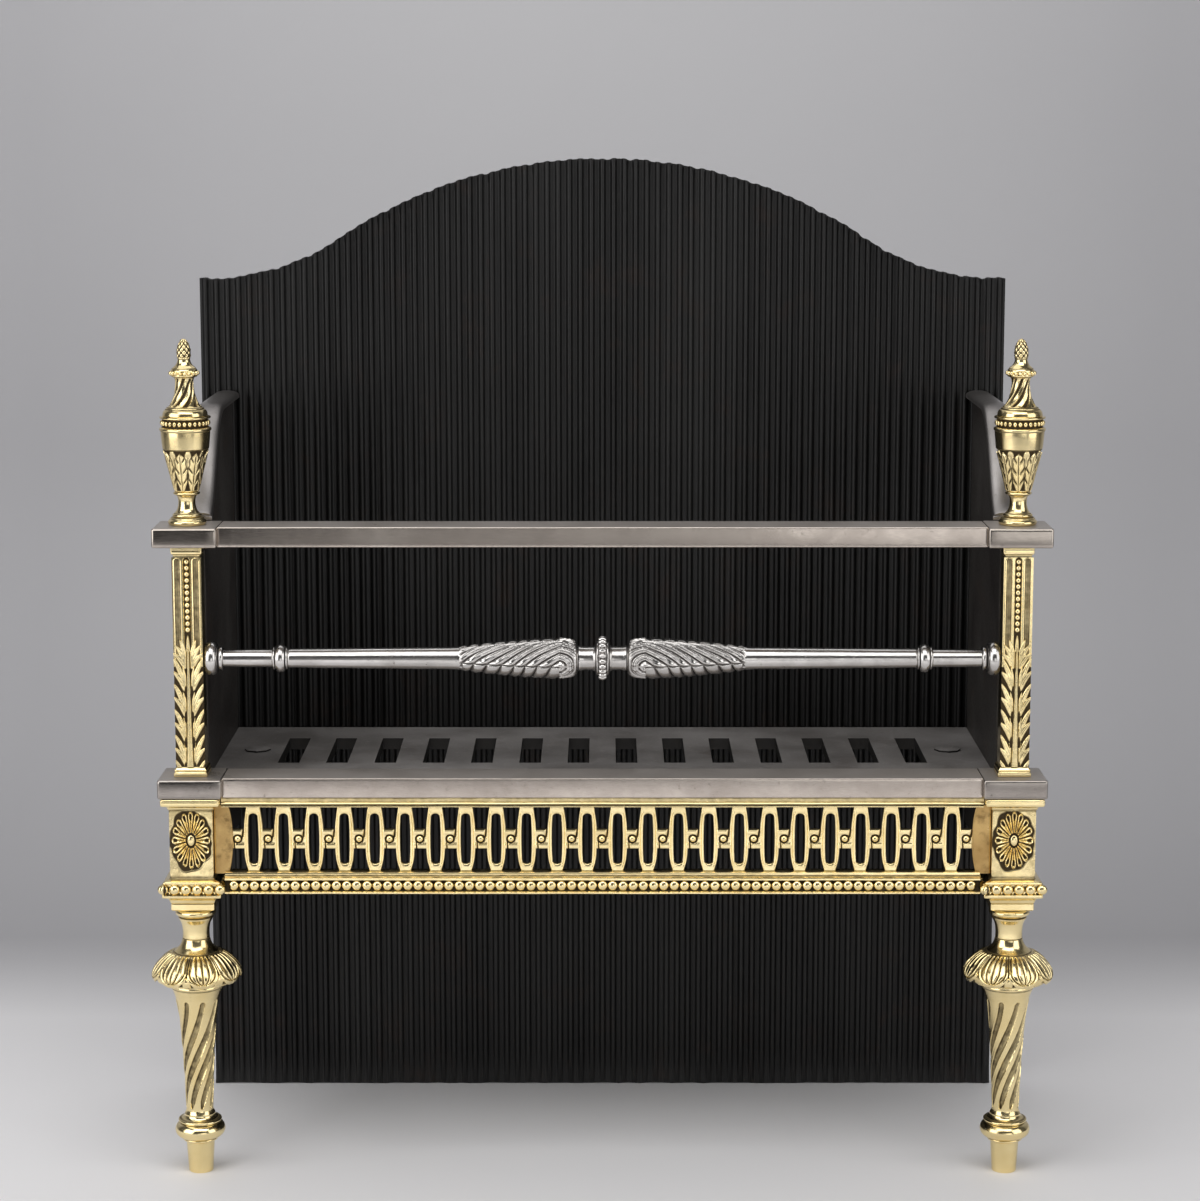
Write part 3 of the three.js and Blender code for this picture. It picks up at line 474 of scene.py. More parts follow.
STAIN = (0.07, 0.06, 0.05)
BRASS = brass("cast_brass", (0.97, 0.81, 0.45), (0.9, 0.72, 0.36), (0.07, 0.05, 0.027))
BRASS_WORN = brass("pitted_brass", (0.55, 0.37, 0.15), (0.36, 0.22, 0.08), (0.09, 0.05, 0.02), 1, 0.9)
STEEL = steel("burnished_steel", (0.56, 0.5, 0.445), (0.4, 0.35, 0.31), (0.09, 0.075, 0.065), 0.12, 0.2,
              dust=0.9)
# Darker copies of the rail steel for the end blocks: partly their own tone, partly painted shade.
BLOCK_STEEL_TONE_AND_SHADE = steel("block_steel_tone_and_shade", (0.44, 0.395, 0.35), (0.3, 0.265, 0.235), STAIN, 0.11, 0.2, dust=0.9)
LOWER_BLOCK_STEEL_TONE_AND_SHADE = steel("lower_block_steel_tone_and_shade", (0.34, 0.31, 0.285), (0.23, 0.205, 0.185), STAIN, 0.12, 0.22, dust=0.9)
BRIGHT = steel("polished_steel", (0.66, 0.64, 0.62), (0.48, 0.46, 0.44), (0.06, 0.05, 0.045), 0.13, 0.25, 30)
STRAP_STEEL = steel("strap_steel", (0.34, 0.32, 0.31), (0.24, 0.225, 0.215), (0.1, 0.085, 0.075), 0.34, 0.42,
                    12)
IRON = iron("black_cast_iron", (0.021, 0.0205, 0.02), (0.0085, 0.008, 0.008), (0.03, 0.017, 0.012), 0.36, 0.5,
            streak=(1, 1, 0.25))
GRATE_IRON = iron("grate_cast_iron", (0.36, 0.34, 0.33), (0.21, 0.195, 0.185), (0.12, 0.09, 0.075), 0.5, 0.66,
                  340, walls=0.95)
DARK_IRON = iron("forged_iron", (0.07, 0.065, 0.06), (0.035, 0.03, 0.028), (0.07, 0.04, 0.025), 0.45, 0.6)


# Fireback: reeds with rounded crowns, cut along a slightly wavy arch

ARCH_CORNER = 744.5
ARCH_RISE = 105.5
ARCH_CROWN = 425
ARCH_FLAT = 8
REEDS = 73
REED_COLUMNS = 12
REED_ROWS = 70
REED_DEPTH = 3.5


def arch_height(x, half):
    """Height of the fireback's top edge at a distance from its middle."""
    shoulder_x = half - ARCH_FLAT
    radii = (shoulder_x ** 2 + ARCH_RISE ** 2) / (2 * ARCH_RISE)
    hollow = radii - ARCH_CROWN
    x = np.abs(x)
    crown = ARCH_CORNER + ARCH_RISE - ARCH_CROWN + np.sqrt(np.maximum(ARCH_CROWN ** 2 - x ** 2, 0))
    from_shoulder = np.clip(shoulder_x - x, 0, hollow)
    low = ARCH_CORNER + hollow - np.sqrt(hollow ** 2 - from_shoulder ** 2)
    return np.where(x < shoulder_x * ARCH_CROWN / radii, crown, low)


def fireback():
    low, high = box_of("fireback")
    half = high[0]
    random = np.random.default_rng(7)
    xs = np.linspace(-half, half, REEDS * REED_COLUMNS + 1)
    phase = (xs + half) / (2 * half) * REEDS
    number = np.minimum(np.floor(phase).astype(int), REEDS - 1)
    away = np.abs(phase - np.floor(phase) - 0.5)
    lean = random.normal(0, 0.22, REEDS)[number]
    crown = (1 - smooth(0.09, 0.35, away)) * (1 - 0.06 * np.minimum(away / 0.12, 1) ** 2)
    wave = np.interp(phase, np.arange(REEDS + 1), random.uniform(0, 1, REEDS + 1))
    top = arch_height(xs, half) - 0.4 - 1.6 * wave ** 2 - 0.7 * (1 - crown)
    share = np.linspace(0, 1, REED_ROWS)[:, None] ** 0.9
    ragged = np.interp(xs, np.linspace(-half, half, 12), random.uniform(0, 1, 12))
    z = share * top + (1 - share) ** 8 * 1.2 * wave
    fade = smooth(0, 1, (z - (1 + 11 * ragged ** 2 + 2 * wave)) / 5 + 0.5)
    reed = crown * fade + 0.8 * (1 - fade)
    y = low[1] + 0.5 + (REED_DEPTH + lean) * (1 - reed) + 0.25 * np.sin(z / 47 + xs / 31)
    # Painted shade on the flanks of the reeds, and less of it in the troughs.
    recess = (0.8 * bump(away, 0.23, 0.085) + 0.25 * smooth(0.3, 0.42, away)) * fade
    face = np.stack((np.repeat(xs[None, :], REED_ROWS, 0), y, z), axis=2)
    piece("reeded_fireback", [backed(face, recess, high[1], 0)], IRON, ["fireback"],
          SHARP_REEDS)


fireback()


# Rails: bars and end blocks with eased edges

BAR_HALF_HEIGHT = 8.35
BAR_FRONT = 8
BAR_BACK = 48


def eased_block(low, high, ease, cuts, seed, wobble, crown):
    """Block with rounded edges, faces that are not quite flat and a front that swells a little."""
    mesh = bmesh.new()
    bmesh.ops.create_cube(mesh, size=1)
    size = np.array(high) - np.array(low)
    centre = (np.array(high) + np.array(low)) / 2
    for vert in mesh.verts:
        vert.co = Vector(np.array(vert.co) * size + centre)
    bmesh.ops.bevel(mesh, geom=mesh.edges[:], offset=ease, segments=3, profile=0.6, affect="EDGES")
    for axis, count in enumerate(cuts):
        normal = Vector(np.eye(3)[axis])
        for i in range(1, count):
            geometry = mesh.verts[:] + mesh.edges[:] + mesh.faces[:]
            place = normal * (low[axis] + size[axis] * i / count)
            bmesh.ops.bisect_plane(mesh, geom=geometry, plane_co=place, plane_no=normal, dist=1e-4)
    shifts = np.random.default_rng(seed).uniform(0, TAU, 6)
    points = np.array([v.co[:] for v in mesh.verts])
    up = 2 * (points[:, 2] - centre[2]) / size[2]
    points[:, 1] += crown * up ** 2 * unit(2 * (centre[1] - points[:, 1]) / size[1])
    x = points[:, 0]
    inward = np.sign(centre - points) * np.minimum(1, np.abs(points - centre) / size * 2.2) ** 4
    sway = 0.5 + 0.25 * np.sin(x / 37 + shifts[0]) + 0.25 * np.sin(x / 13 + shifts[1])
    points[:, 1] += inward[:, 1] * wobble * sway
    points[:, 2] += inward[:, 2] * wobble * (1 - sway) * 0.7
    faces = [tuple(v.index for v in face.verts) for face in mesh.faces]
    mesh.free()
    return points, faces, np.zeros(len(points))


def rails():
    for level, seed, metal in (("top", 3, BLOCK_STEEL_TONE_AND_SHADE), ("lower", 11, LOWER_BLOCK_STEEL_TONE_AND_SHADE)):
        inner = box_of("right_" + level + "_block")[0][0] + 0.2
        centre = middle(level + "_bar")[2]
        bar = eased_block((-inner, FRONT_Y + BAR_FRONT, centre - BAR_HALF_HEIGHT),
                          (inner, FRONT_Y + BAR_BACK, centre + BAR_HALF_HEIGHT),
                          1, (48, 1, 6), seed, 0.14, 0.14)
        piece(level + "_rail", [bar], STEEL, [level + "_bar"])
        for side, sign in SIDE_NAMES:
            node = side + level + "_block"
            block = eased_block(*box_of(node), 2.2, (6, 6, 5), seed + sign, 0.3, 0.4)
            piece(side + level + "_rail_block", [block], metal, [node])


rails()


# Cheek caps: half-round straps along the swept edges

CAP_START_Y = 52.3
CAP_END = (150, 637.2)
CAP_RISE = 5.4
CAP_POINTS = 60
CAP_FLAT_POINTS = 12


def cap():
    low, high = box_of("right_cheek_cap")
    middle_x = (low[0] + high[0]) / 2
    half = (high[0] - low[0]) / 2
    start = np.array((FRONT_Y + CAP_START_Y, box_of("right_top_block")[1][2]))
    end = np.array((FRONT_Y + CAP_END[0], CAP_END[1]))
    leave = start + (end - start) * np.array((0.33, 0.2))
    arrive = start + (end - start) * np.array((0.5, 1))
    shares = np.linspace(0, 1, CAP_POINTS)[:, None]
    path = ((1 - shares) ** 3 * start + 3 * (1 - shares) ** 2 * shares * leave
            + 3 * (1 - shares) * shares ** 2 * arrive + shares ** 3 * end)
    level = np.linspace(end[0], high[1], CAP_FLAT_POINTS)[1:]
    path = np.vstack((path, np.column_stack((level, np.full(len(level), end[1])))))
    tangent = np.gradient(path, axis=0)
    tangent /= np.linalg.norm(tangent, axis=1)[:, None]
    normal = np.stack((-tangent[:, 1], tangent[:, 0]), axis=1)
    normal[0] = (0, 1)
    turns = np.linspace(0.05, math.pi - 0.05, 25)
    round_top = [(math.cos(a), 1.2 + CAP_RISE * math.sin(a) ** 0.7) for a in turns]
    section = [(1, 0.3), *round_top, (-1, 0.3)]
    rings = [(middle_x + across * half, y + ny * rise, z + nz * rise)
             for (y, z), (ny, nz) in zip(path, normal) for across, rise in section]
    points, faces, recess = closed_rings(np.array(rings), len(section), np.zeros(len(rings)))
    return points, [face[::-1] for face in faces], recess


for side, sign in SIDE_NAMES:
    chunk = cap() if sign > 0 else mirrored(cap())
    piece(side + "strap", [chunk], STRAP_STEEL, [side + "cheek_cap"], SHARP_STRAP)


# Legs

FLUTES = 8
KNOP_LEAVES = 8


def toe():
    return [turned(outline(
        (9.8, 0), (10.3, 0.6), (11.8, 24.4), (14.5, 28, -0.22), (14.5, 29.8, 0.2), (13.9, 30.2),
        (17.4, 31, -0.1), (17.6, 43, 0.3), (16.8, 43.6), (17.9, 44.4, 0.1), (17.9, 46.3, 0.2), (16.4, 47),
        (12.8, 51, -0.2)), plain((30.4, 0.85, 0.55), (43.6, 0.9, 0.5), (46.9, 0.8, 0.45)))]


def shaft():
    run = outline((12.75, 51.3), 0.75, [
        (11.75, 53.4), (11.35, 56.6), (11.7, 66), (12.15, 76), (13, 97), (14.1, 116), (15.45, 133),
        (16.9, 144), (18.6, 153), (20.3, 158), (22, 161.9)])
    foot, head = 57, 151.5

    def relief(angle, z, radius):
        share = unit((z - foot) / (head - foot))
        turn = 0.4 * (0.12 * share + 0.88 * smooth(-0.12, 1, share)) - 0.4
        away = folded(angle - FRONT - 0.37 - turn * TAU, TAU / FLUTES)
        across = away * radius * (0.7 + 0.3 * np.abs(2 * share - 1) ** 2)
        width = np.minimum(2.1, 0.9 + (z - foot) * 0.2) * tip(z, head - 2.4, 2.4)
        width = np.where((z < foot) | (z > head), TINY, np.maximum(width, TINY))
        hollow = dome(across, width)
        # Darker edge on one side of each flute: painted shade.
        rim = bump(across, -width + 0.3, 0.55) * (width > 0.5)
        lip = 0.16 * bump(np.abs(across), width + 0.6, 0.5) * (width > 0.5)
        # Recess: each flute's hollow and one edge are darkened as painted shade; the line at 161.6 is a dark
        # joint.
        return lip - 1.7 * hollow, 0.7 * hollow ** 0.4 + 0.3 * rim + 0.7 * bump(z, 161.6, 0.8)

    return [turned(run, relief, 232)]


def knop():
    """Ring of leaves that hang over a fillet; away runs from 0 at their root to 1 at their tips."""
    run = outline((22.3, 162.2), 0.45, [
        (22.95, 163.4), (22.7, 165), (24.6, 165.8), (28.4, 166.5), (32.6, 167.6), (35.4, 169.2),
        (36.8, 171.4), (37.2, 174), (36.5, 177), (34, 181.4), (29.5, 186.5), (24.6, 190.2), (19.8, 192.3)])
    length = np.concatenate(([0], np.cumsum(np.linalg.norm(np.diff(run, axis=0), axis=1))))
    tips = length[np.argmin(np.abs(run - np.array((35, 168.8))).sum(axis=1))]
    away = ((length[-1] - length) / (length[-1] - tips))[:, None]
    half = math.pi / KNOP_LEAVES

    def relief(angle, z, radius):
        u = unit(np.abs(folded(angle - FRONT + 0.12 + half, 2 * half)) / half)
        reach = radius * half
        edge = tip(away, 0.55, 0.45)
        inner = 0.84 * tip(away, 0.5, 0.38)
        inside = smooth(-0.35, 0.35, (edge - u) * reach) * (away < 1)
        ribs = darkest(bump(u * reach, 0, 0.62), bump((u - 0.5 * inner) * reach, 0, 0.62),
                       bump((u - inner) * reach, 0, 0.7)) * (inner > 0.02)
        ribs = ribs * smooth(0, 0.12, away) * (1 - 0.55 * bump(inner, 0, 0.16))
        parting = bump((1 - u) * reach, 0, 0.6) * smooth(0, 0.1, away)
        bud = smooth(0.3, 0.22, 1 - u + 0.5 * unit(0.84 - away))
        bud = bud * smooth(0.62, 0.72, away) * smooth(1.1, 1.02, away)
        under = (1 - inside) * (away < 1.12)
        carved = 0.5 * (1 - u ** 2) + 0.35 * smooth(inner, inner + 0.05, u) * (away > 0.45) - 1.35 * ribs
        rise = (carved - parting) * inside + (2.1 * bud - 2.7) * under
        rise = rise * smooth(-0.02, 0.05, away) * smooth(1.5, 1.05, away)
        recess = inside * np.maximum(ribs * 0.95, parting) + (1 - bud) * under
        recess = recess + dark_at(away, (1.06, 0.5, 0.05), (0.02, 0.6, 0.015))
        return rise, recess + 0.8 * bump(z, 165.1, 0.5) * (radius < 26)

    return [turned(run, relief, KNOP_LEAVES * 54)]


def capital():
    neck = turned(outline(
        (19.6, 192.6), [(17.6, 193.8), (14.2, 197), (12.2, 201), (11.5, 203.6)], (11, 204), (11.3, 204.6),
        [(11.2, 209), (11.5, 213), (12.3, 217), (14.5, 221.4)], (14.6, 222), (13.7, 222.4), (14.4, 223.2),
        (15.6, 224), (15.6, 229.2, 0.3), (14.7, 229.9), (16.4, 231.5, -0.15)),
        plain((204, 0.85, 0.45), (222.6, 0.9, 0.6), (229.9, 0.9, 0.5), (192.8, 0.8, 0.5)))
    abacus = squared(outline((17.5, 231.3), (18.05, 231.9), (18.05, 236.9), (17.6, 237.5)), 0.03)
    return [neck, abacus]


DIE_BEADS = 6
DIE_BEAD_PITCH = 9.44
DIE_MIDDLE = 291.6


def die():
    points, faces, _ = squared(outline(
        (18.2, 237.8), (18.6, 238.6), (23.6, 243.2, -0.16), (24.5, 243.6), (24.6, 246.2, 0.08), (22.4, 246.9),
        (21.8, 247.6), (21.8, 254), (23.4, 254.6), (23.7, 256.4, 0.15), (22.6, 257.2), (18.9, 258.4),
        (18.15, 259.2), (18.15, 316.8), (18.9, 317.4), (19.4, 318.6), (23.4, 321, -0.18), (24.2, 321.5),
        (24.6, 325.2, 0.06), (24.6, 326.2), (24.1, 327)), 0.035)
    z = points[:, 2]
    recess = 0.9 * smooth(1, 0.2, np.abs(z - 250.8) / 4.2)
    recess += dark_at(z, (258.8, 0.55, 0.8), (317.6, 0.6, 0.7))
    chunks = [(points, faces, recess)]
    ball = sphere((0, 0, 0), 4.5, scale=(1, 0.66, 0.98))
    for i in range(DIE_BEADS):
        along = (i - (DIE_BEADS - 1) / 2) * DIE_BEAD_PITCH
        turns = (-QUARTER, 0, QUARTER) if i > 0 else (0,)
        chunks += [swung(ball, (along, -23.3, 250.6), turn) for turn in turns]

    def field(x, z):
        inside = np.hypot((x + 0.5) / 17.2, (z - DIE_MIDDLE) / 25.8)
        turn = np.arctan2(z - DIE_MIDDLE - 0.2, x)
        sunk = smooth(1.06, 0.98, inside + 0.04 * np.sin(5 * turn + 1.3) + 0.03 * np.sin(11 * turn))
        stain = 0.34 * smooth(12, 17, np.hypot(x, 0.45 * (z - DIE_MIDDLE) + 2 * np.sin(z / 3.1)))
        edge = 0.3 * smooth(17, 18, np.abs(x)) + 0.7 * smooth(263, 259.6, z)
        edge += 0.6 * smooth(314, 316.6, z)
        return 0.45 * (1 - sunk), 0.98 * sunk + np.maximum(edge, stain) * (1 - sunk)

    chunks.append(panel(np.linspace(-18, 18, 61), np.linspace(259.6, 316.5, 96), -18.25, field, 0.5))
    return chunks


ROSETTE_HALF = (16.1, 24.6)
PETALS = 16
PETAL_COLUMNS = 20
ROSETTE_ROWS = 60


def rosette():
    columns = PETALS * PETAL_COLUMNS
    turn, rho = np.meshgrid(ring_angles(columns), np.linspace(0.02, 1, ROSETTE_ROWS))
    pitch = TAU / PETALS
    u = np.abs(folded(turn, pitch) / (pitch / 2))
    waist = np.maximum(0.86 * tip(rho, 0.8, 0.19), TINY)
    inside = smooth(1.06, 0.94, u / waist) * (rho < 0.99)
    slit = np.maximum(0.46 * waist * smooth(0.6, 0.8, rho), 0.001)
    hollow = smooth(1, 0.7, u / slit) * smooth(0.925, 0.885, rho) * (rho > 0.6)
    tail = bump(u, 0, 0.14) * smooth(0.3, 0.4, rho) * smooth(0.66, 0.6, rho)
    parting = bump(u, 1, 0.13 + 0.1 * smooth(0.6, 0.3, rho)) * smooth(0.24, 0.34, rho)
    rib = 0.35 + 0.65 * bump(u / waist, 0.66, 0.34)
    rise = 0.25 + inside * (1.9 * rib - 0.9 * hollow - 0.35 * tail - 0.9 * parting)
    recess = darkest(1 - inside, hollow, 0.6 * tail, 0.8 * parting)
    ditch = rho < 0.265
    boss = rho < 0.19
    rise = np.where(boss, 1.2 + 1.6 * dome(rho, 0.19), np.where(ditch, 0.3, rise))
    recess = np.where(boss, smooth(0.155, 0.19, rho), np.where(ditch, 1, recess))
    rise[-1, :] = 0
    wide, high = ROSETTE_HALF
    points = np.stack((wide * rho * np.sin(turn), -rise, high * rho * np.cos(turn)), axis=2)
    points = np.vstack((points.reshape(-1, 3), (0, -2.8, 0)))
    faces = [face[::-1] for face in grid_faces(ROSETTE_ROWS, columns, True)]
    faces += [(len(points) - 1, j, i) for i, j in neighbours(columns)]
    last = (ROSETTE_ROWS - 1) * columns
    faces.append(tuple(range(last, last + columns)))
    return points, faces, np.concatenate((recess.reshape(-1), [0]))


# Columns with their leaf

LEAF_TIER = 21.4
LEAF_LENGTH = 110.6
LEAF_FOOT = 352.6
LOBES = [(LEAF_TIER * tier - 25, *lobe) for tier in range(5) for lobe in
         ((0.54, 23.5, 2.6), (0.36, 34, 2.6), (0.15, 24.5, 1.5))]
LOBES += [(84, 0, 26.6, 2), (84, 0.24, 23.5, 2.4), (82, 0.43, 23, 2.5), (80, 0.62, 19, 2.6)]
COLUMN_BEADS = 12
COLUMN_BEAD_PITCH = 5.15
CHANNEL_HEAD = 527


def leaf(across, along):
    """Rise and recess of an acanthus leaf: tiers of lobes that fan out from a tapering stem.
    Lobes are (foot, lean from upright, reach, half width)."""
    x = np.abs(across)
    rise = np.zeros_like(x)
    cover = np.zeros_like(x)
    for foot, aim, reach, wide in LOBES:
        dx = x - 1.2 * (aim > 0)
        dz = along - foot
        rho = np.hypot(dx, dz)
        share = unit(rho / reach)
        width = 1.73 * wide * share ** 0.35 * (1 - share) ** 0.45
        off = (np.arctan2(dx, dz) - aim * (0.66 + 0.34 * share ** 2)) * rho
        lobe = unit(1 - (off / np.maximum(width, 0.01)) ** 2)
        vein = bump(off, 0, 0.3) * smooth(0.3, 0.5, share) * smooth(0.95, 0.8, share)
        rise = np.maximum(rise, lobe ** 0.6 * (0.35 + 0.65 * share) - 0.2 * vein)
        cover = np.maximum(cover, (lobe - 0.35 * vein) * smooth(0.08, 0.3, share))
    stem = np.clip(2.75 - 1.95 * (np.clip(along, 0, 120) / 95) ** 0.7, 0.8, 2.8)
    on_stem = smooth(0.25, -0.25, x - stem) * (along < 100)
    ditch = bump(x, stem + 0.45, 0.45) * (along < 97)
    beside = (along + 7) % LEAF_TIER - LEAF_TIER / 2
    pocket = smooth(1.1, 0.7, np.hypot((x - stem - 1.2) / 1.2, (beside + 4.5) / 5.5)) * (along < 82)
    stem_rise = on_stem * (0.7 + 0.3 * dome(x, stem + 0.01))
    rise = np.maximum(rise * (1 - 0.8 * np.maximum(ditch, pocket)), stem_rise)
    return rise, darkest(smooth(0.6, 0.1, cover), 0.85 * ditch, pocket) * (1 - on_stem)


def column_front(x, z):
    """Two flutes and a beaded channel between them, with the leaf over their lower half."""
    along = z - LEAF_FOOT
    leaf_rise, leaf_recess = leaf(x, along)
    on_leaf = (along < LEAF_LENGTH) & ((leaf_recess < 0.9) | (along < 84))
    flute_away = np.abs(np.abs(x) - 7.6)
    width = 2.25 * tip(z, CHANNEL_HEAD - 2.25, 2.25)
    flute = dome(flute_away, np.maximum(width, 0.01)) * (z < CHANNEL_HEAD)
    lip = bump(flute_away, width + 0.45, 0.4) * (z < CHANNEL_HEAD + 0.7)
    arch = 2.75 * tip(z, CHANNEL_HEAD - 2, 2.75)
    channel = smooth(0.25, -0.25, np.abs(x) - arch) * (arch > 0.3)
    shade = 0.72 * flute ** 0.5 + 0.35 * bump(flute_away, width - 0.2, 0.45) * (z < CHANNEL_HEAD)
    rise = np.where(on_leaf, 0.3 + 1.75 * leaf_rise, 1.2 + 0.35 * lip - flute - channel)
    ground_recess = darkest(shade, channel, np.full_like(x, 0.15))
    return rise, np.where(on_leaf, np.maximum(leaf_recess, 0.27), ground_recess)


def column():
    points, faces, _ = squared(outline(
        (13.7, 344.3), (13.9, 344.9), (13.9, 347.4), (13.3, 348), (12.9, 348.6), (13.2, 350.2, 0.25),
        (12.3, 351.6), (11.4, LEAF_FOOT), (11.4, 527.6), (11, 528.4), (11.2, 529.6), (12.4, 530.6),
        (12.8, 533, 0.08), (13, 536.7)), 0.04)
    recess = dark_at(points[:, 2], (528.6, 0.7, 0.8), (352.4, 0.7, 0.9), (348.2, 0.5, 0.4))
    front = panel(np.linspace(-12.1, 12.1, 111), np.linspace(LEAF_FOOT, 528, 440), -11.3, column_front, 0.6)
    beads = [sphere((0, -11.4, 524.3 - i * COLUMN_BEAD_PITCH), 2.2, 12, 8, (1, 0.85, 1.08))
             for i in range(COLUMN_BEADS)]
    return [(points, faces, recess), front, *beads]


# Urns

URN_LEAVES = 8
COVER_FLUTES = 8


def socle():
    return [turned(outline(
        (15, 554), (15.2, 554.6), (15.2, 557.6, 0.2), (14, 558.6), (13.6, 559.6), (12.6, 560.2),
        (11.3, 560.6), (11.4, 562.8, 0.3), (10.5, 563.3),
        [(8.6, 565.6), (7.4, 569), (7, 572.8), (7.5, 576.4), (9, 578.5)], (10.3, 578.9), (10.3, 581, 0.3)),
        plain((560.2, 0.8, 0.5), (563.4, 0.7, 0.5), (578.6, 0.8, 0.4), (558.9, 0.7, 0.35)))]


def urn():
    foot, head = 582, 615.8
    half = math.pi / URN_LEAVES

    def relief(angle, z, radius):
        along = unit((z - foot) / (head - foot))
        front = np.abs(folded(angle - FRONT + 0.16, 2 * half)) / half
        wave = 1 + 0.1 * np.cos(TAU * (along * 3.6 + 0.15))
        wide = 0.93 * np.sin(math.pi * unit(along * 0.78 + 0.18)) ** 0.7 * wave
        u = front / np.maximum(wide * smooth(0.97, 0.82, along), TINY)
        on_front = smooth(1.05, 0.92, u) * (along < 0.96)
        chevron = 0.5 + 0.5 * np.cos(TAU * (along * 3.8 - 0.75 * u))
        vein = bump(u, 0, 0.12)
        strokes = (1 - chevron) ** 5 * smooth(0.15, 0.4, u) * smooth(1, 0.85, u)
        front_rise = 0.75 + 0.35 * (1 - u ** 2) - 0.6 * strokes - 0.45 * vein
        v = (1 - front) / np.maximum(0.42 * tip(along, 0.85, 0.15), TINY)
        on_back = smooth(1.05, 0.85, v)
        back_rise = 0.4 + 0.35 * smooth(0.86, 0.93, along) - 0.25 * bump(v, 0, 0.3) * (along < 0.86)
        carved = np.maximum(on_front * front_rise, on_back * back_rise * (1 - on_front))
        dark = darkest(1 - np.maximum(on_front, on_back * smooth(0.2, 0.8, along)),
                       0.95 * bump(u, 1.03, 0.13) * (along < 0.94), (strokes + 0.85 * vein) * on_front,
                       0.6 * bump(v, 0, 0.3) * (1 - on_front) * (along < 0.84))
        zone = smooth(foot - 0.2, foot + 0.5, z) * smooth(head + 0.4, head - 0.1, z)
        recess = darkest(zone * dark, 0.98 * ((z > 634.3) & (z < 641.3)), 0.85 * bump(z, 616.4, 0.55),
                         0.8 * bump(z, 631.3, 0.4))
        return zone * (1.4 * carved - 1.1), recess

    body = turned(outline(
        (9.6, 581.3), (10.1, foot), 0.5, [(12, 589), (14.2, 598), (16.6, 607), (18.9, 615.9)], STEP,
        (18.6, 616.5), (19.1, 617), [(19.6, 622), (20.05, 627), (20.3, 631)], (20.9, 631.5),
        (20.9, 633.6, 0.2), (19.9, 634.2), (18.6, 634.6), (18.6, 641), (19.8, 641.3), (20.6, 641.6),
        (20.6, 643, 0.2)), relief, 260)
    return [body, *bead_ring(28, 19.1, 637.8, 1.75, (1, 0.85, 1.25))]


def cover():
    foot, head = 651, 674.6
    half = math.pi / COVER_FLUTES

    def relief(angle, z, radius):
        share = unit((z - foot) / (head - foot))
        away = np.abs(folded(angle - FRONT - 0.27 * share ** 0.8 * TAU, 2 * half)) / half
        zone = smooth(foot, foot + 1.5, z) * smooth(head, head - 1.2, z)
        hollow = unit(1 - (away / 0.5) ** 2) ** 0.6 * zone
        cone = smooth(690.2, 691, z) * smooth(706.2, 704.5, z)
        climb = (z - 690) * 0.62
        knobs = np.abs(np.sin(3.5 * angle + climb)) * np.abs(np.sin(3.5 * angle - climb))
        grooves = [0.85 * bump(z, groove, 0.45) for groove in (648.9, 650.4, 675.2, 682, 689.8)]
        recess = darkest(1.1 * hollow ** 0.8, cone * smooth(0.5, 0.1, knobs) * 0.95, *grooves)
        return cone * (0.75 * knobs ** 0.7 - 0.5) - 0.17 * radius * hollow, recess

    body = turned(outline(
        (18.3, 643.3), (18.5, 644.2, 0.1), (18.2, 646), (16.4, 648.6, 0.08), (15.4, 648.9), (15.2, 650, 0.15),
        (14.2, 650.6), 0.45, [(11.9, 653), (9.9, 657.2), (8.3, 662.5), (7.5, 668), (7.6, 672.5), (8.6, 675)],
        STEP, (10, 675.4), (10.9, 676.2, 0.1), (10.9, 680.6), (10.2, 681.6),
        [(9.3, 682.8), (7.2, 684.6), (5.7, 687), (5, 689.6)], (5.3, 690.2), 0.4,
        [(5.75, 693), (5.6, 697.5), (4.3, 702), (2.2, 705.4), (0.4, 706.4)]), relief, 160)
    return [body, *bead_ring(18, 11, 678.4, 1.85)]


def stacks():
    makers = {"leg_toe": toe, "leg_shaft": shaft, "leg_knop": knop, "leg_capital": capital, "die": die,
              "column": column, "finial_socle": socle, "finial_urn": urn, "finial_cover": cover}
    for name, maker in makers.items():
        chunks = maker()
        for side, sign in SIDE_NAMES:
            placed = [moved(chunk, (sign * AXIS_X, AXIS_Y, 0)) for chunk in chunks]
            piece(side + "cast_" + name, placed, BRASS, [side + name])
    petals = rosette()
    for side, sign in SIDE_NAMES:
        placed = moved(petals, (sign * AXIS_X, AXIS_Y - 18.35, middle(side + "rosette")[2]))
        piece(side + "oval_rosette", [placed], BRASS, [side + "rosette"])


stacks()


# Turned bar across the front

BAR_LEAVES = 2
BAR_LEAF_TURN = math.radians(198)
BAR_LEAF_START = 21.5
BAR_LEAF_LENGTH = 98
RIB_PITCH = 10.5
EYE = 14


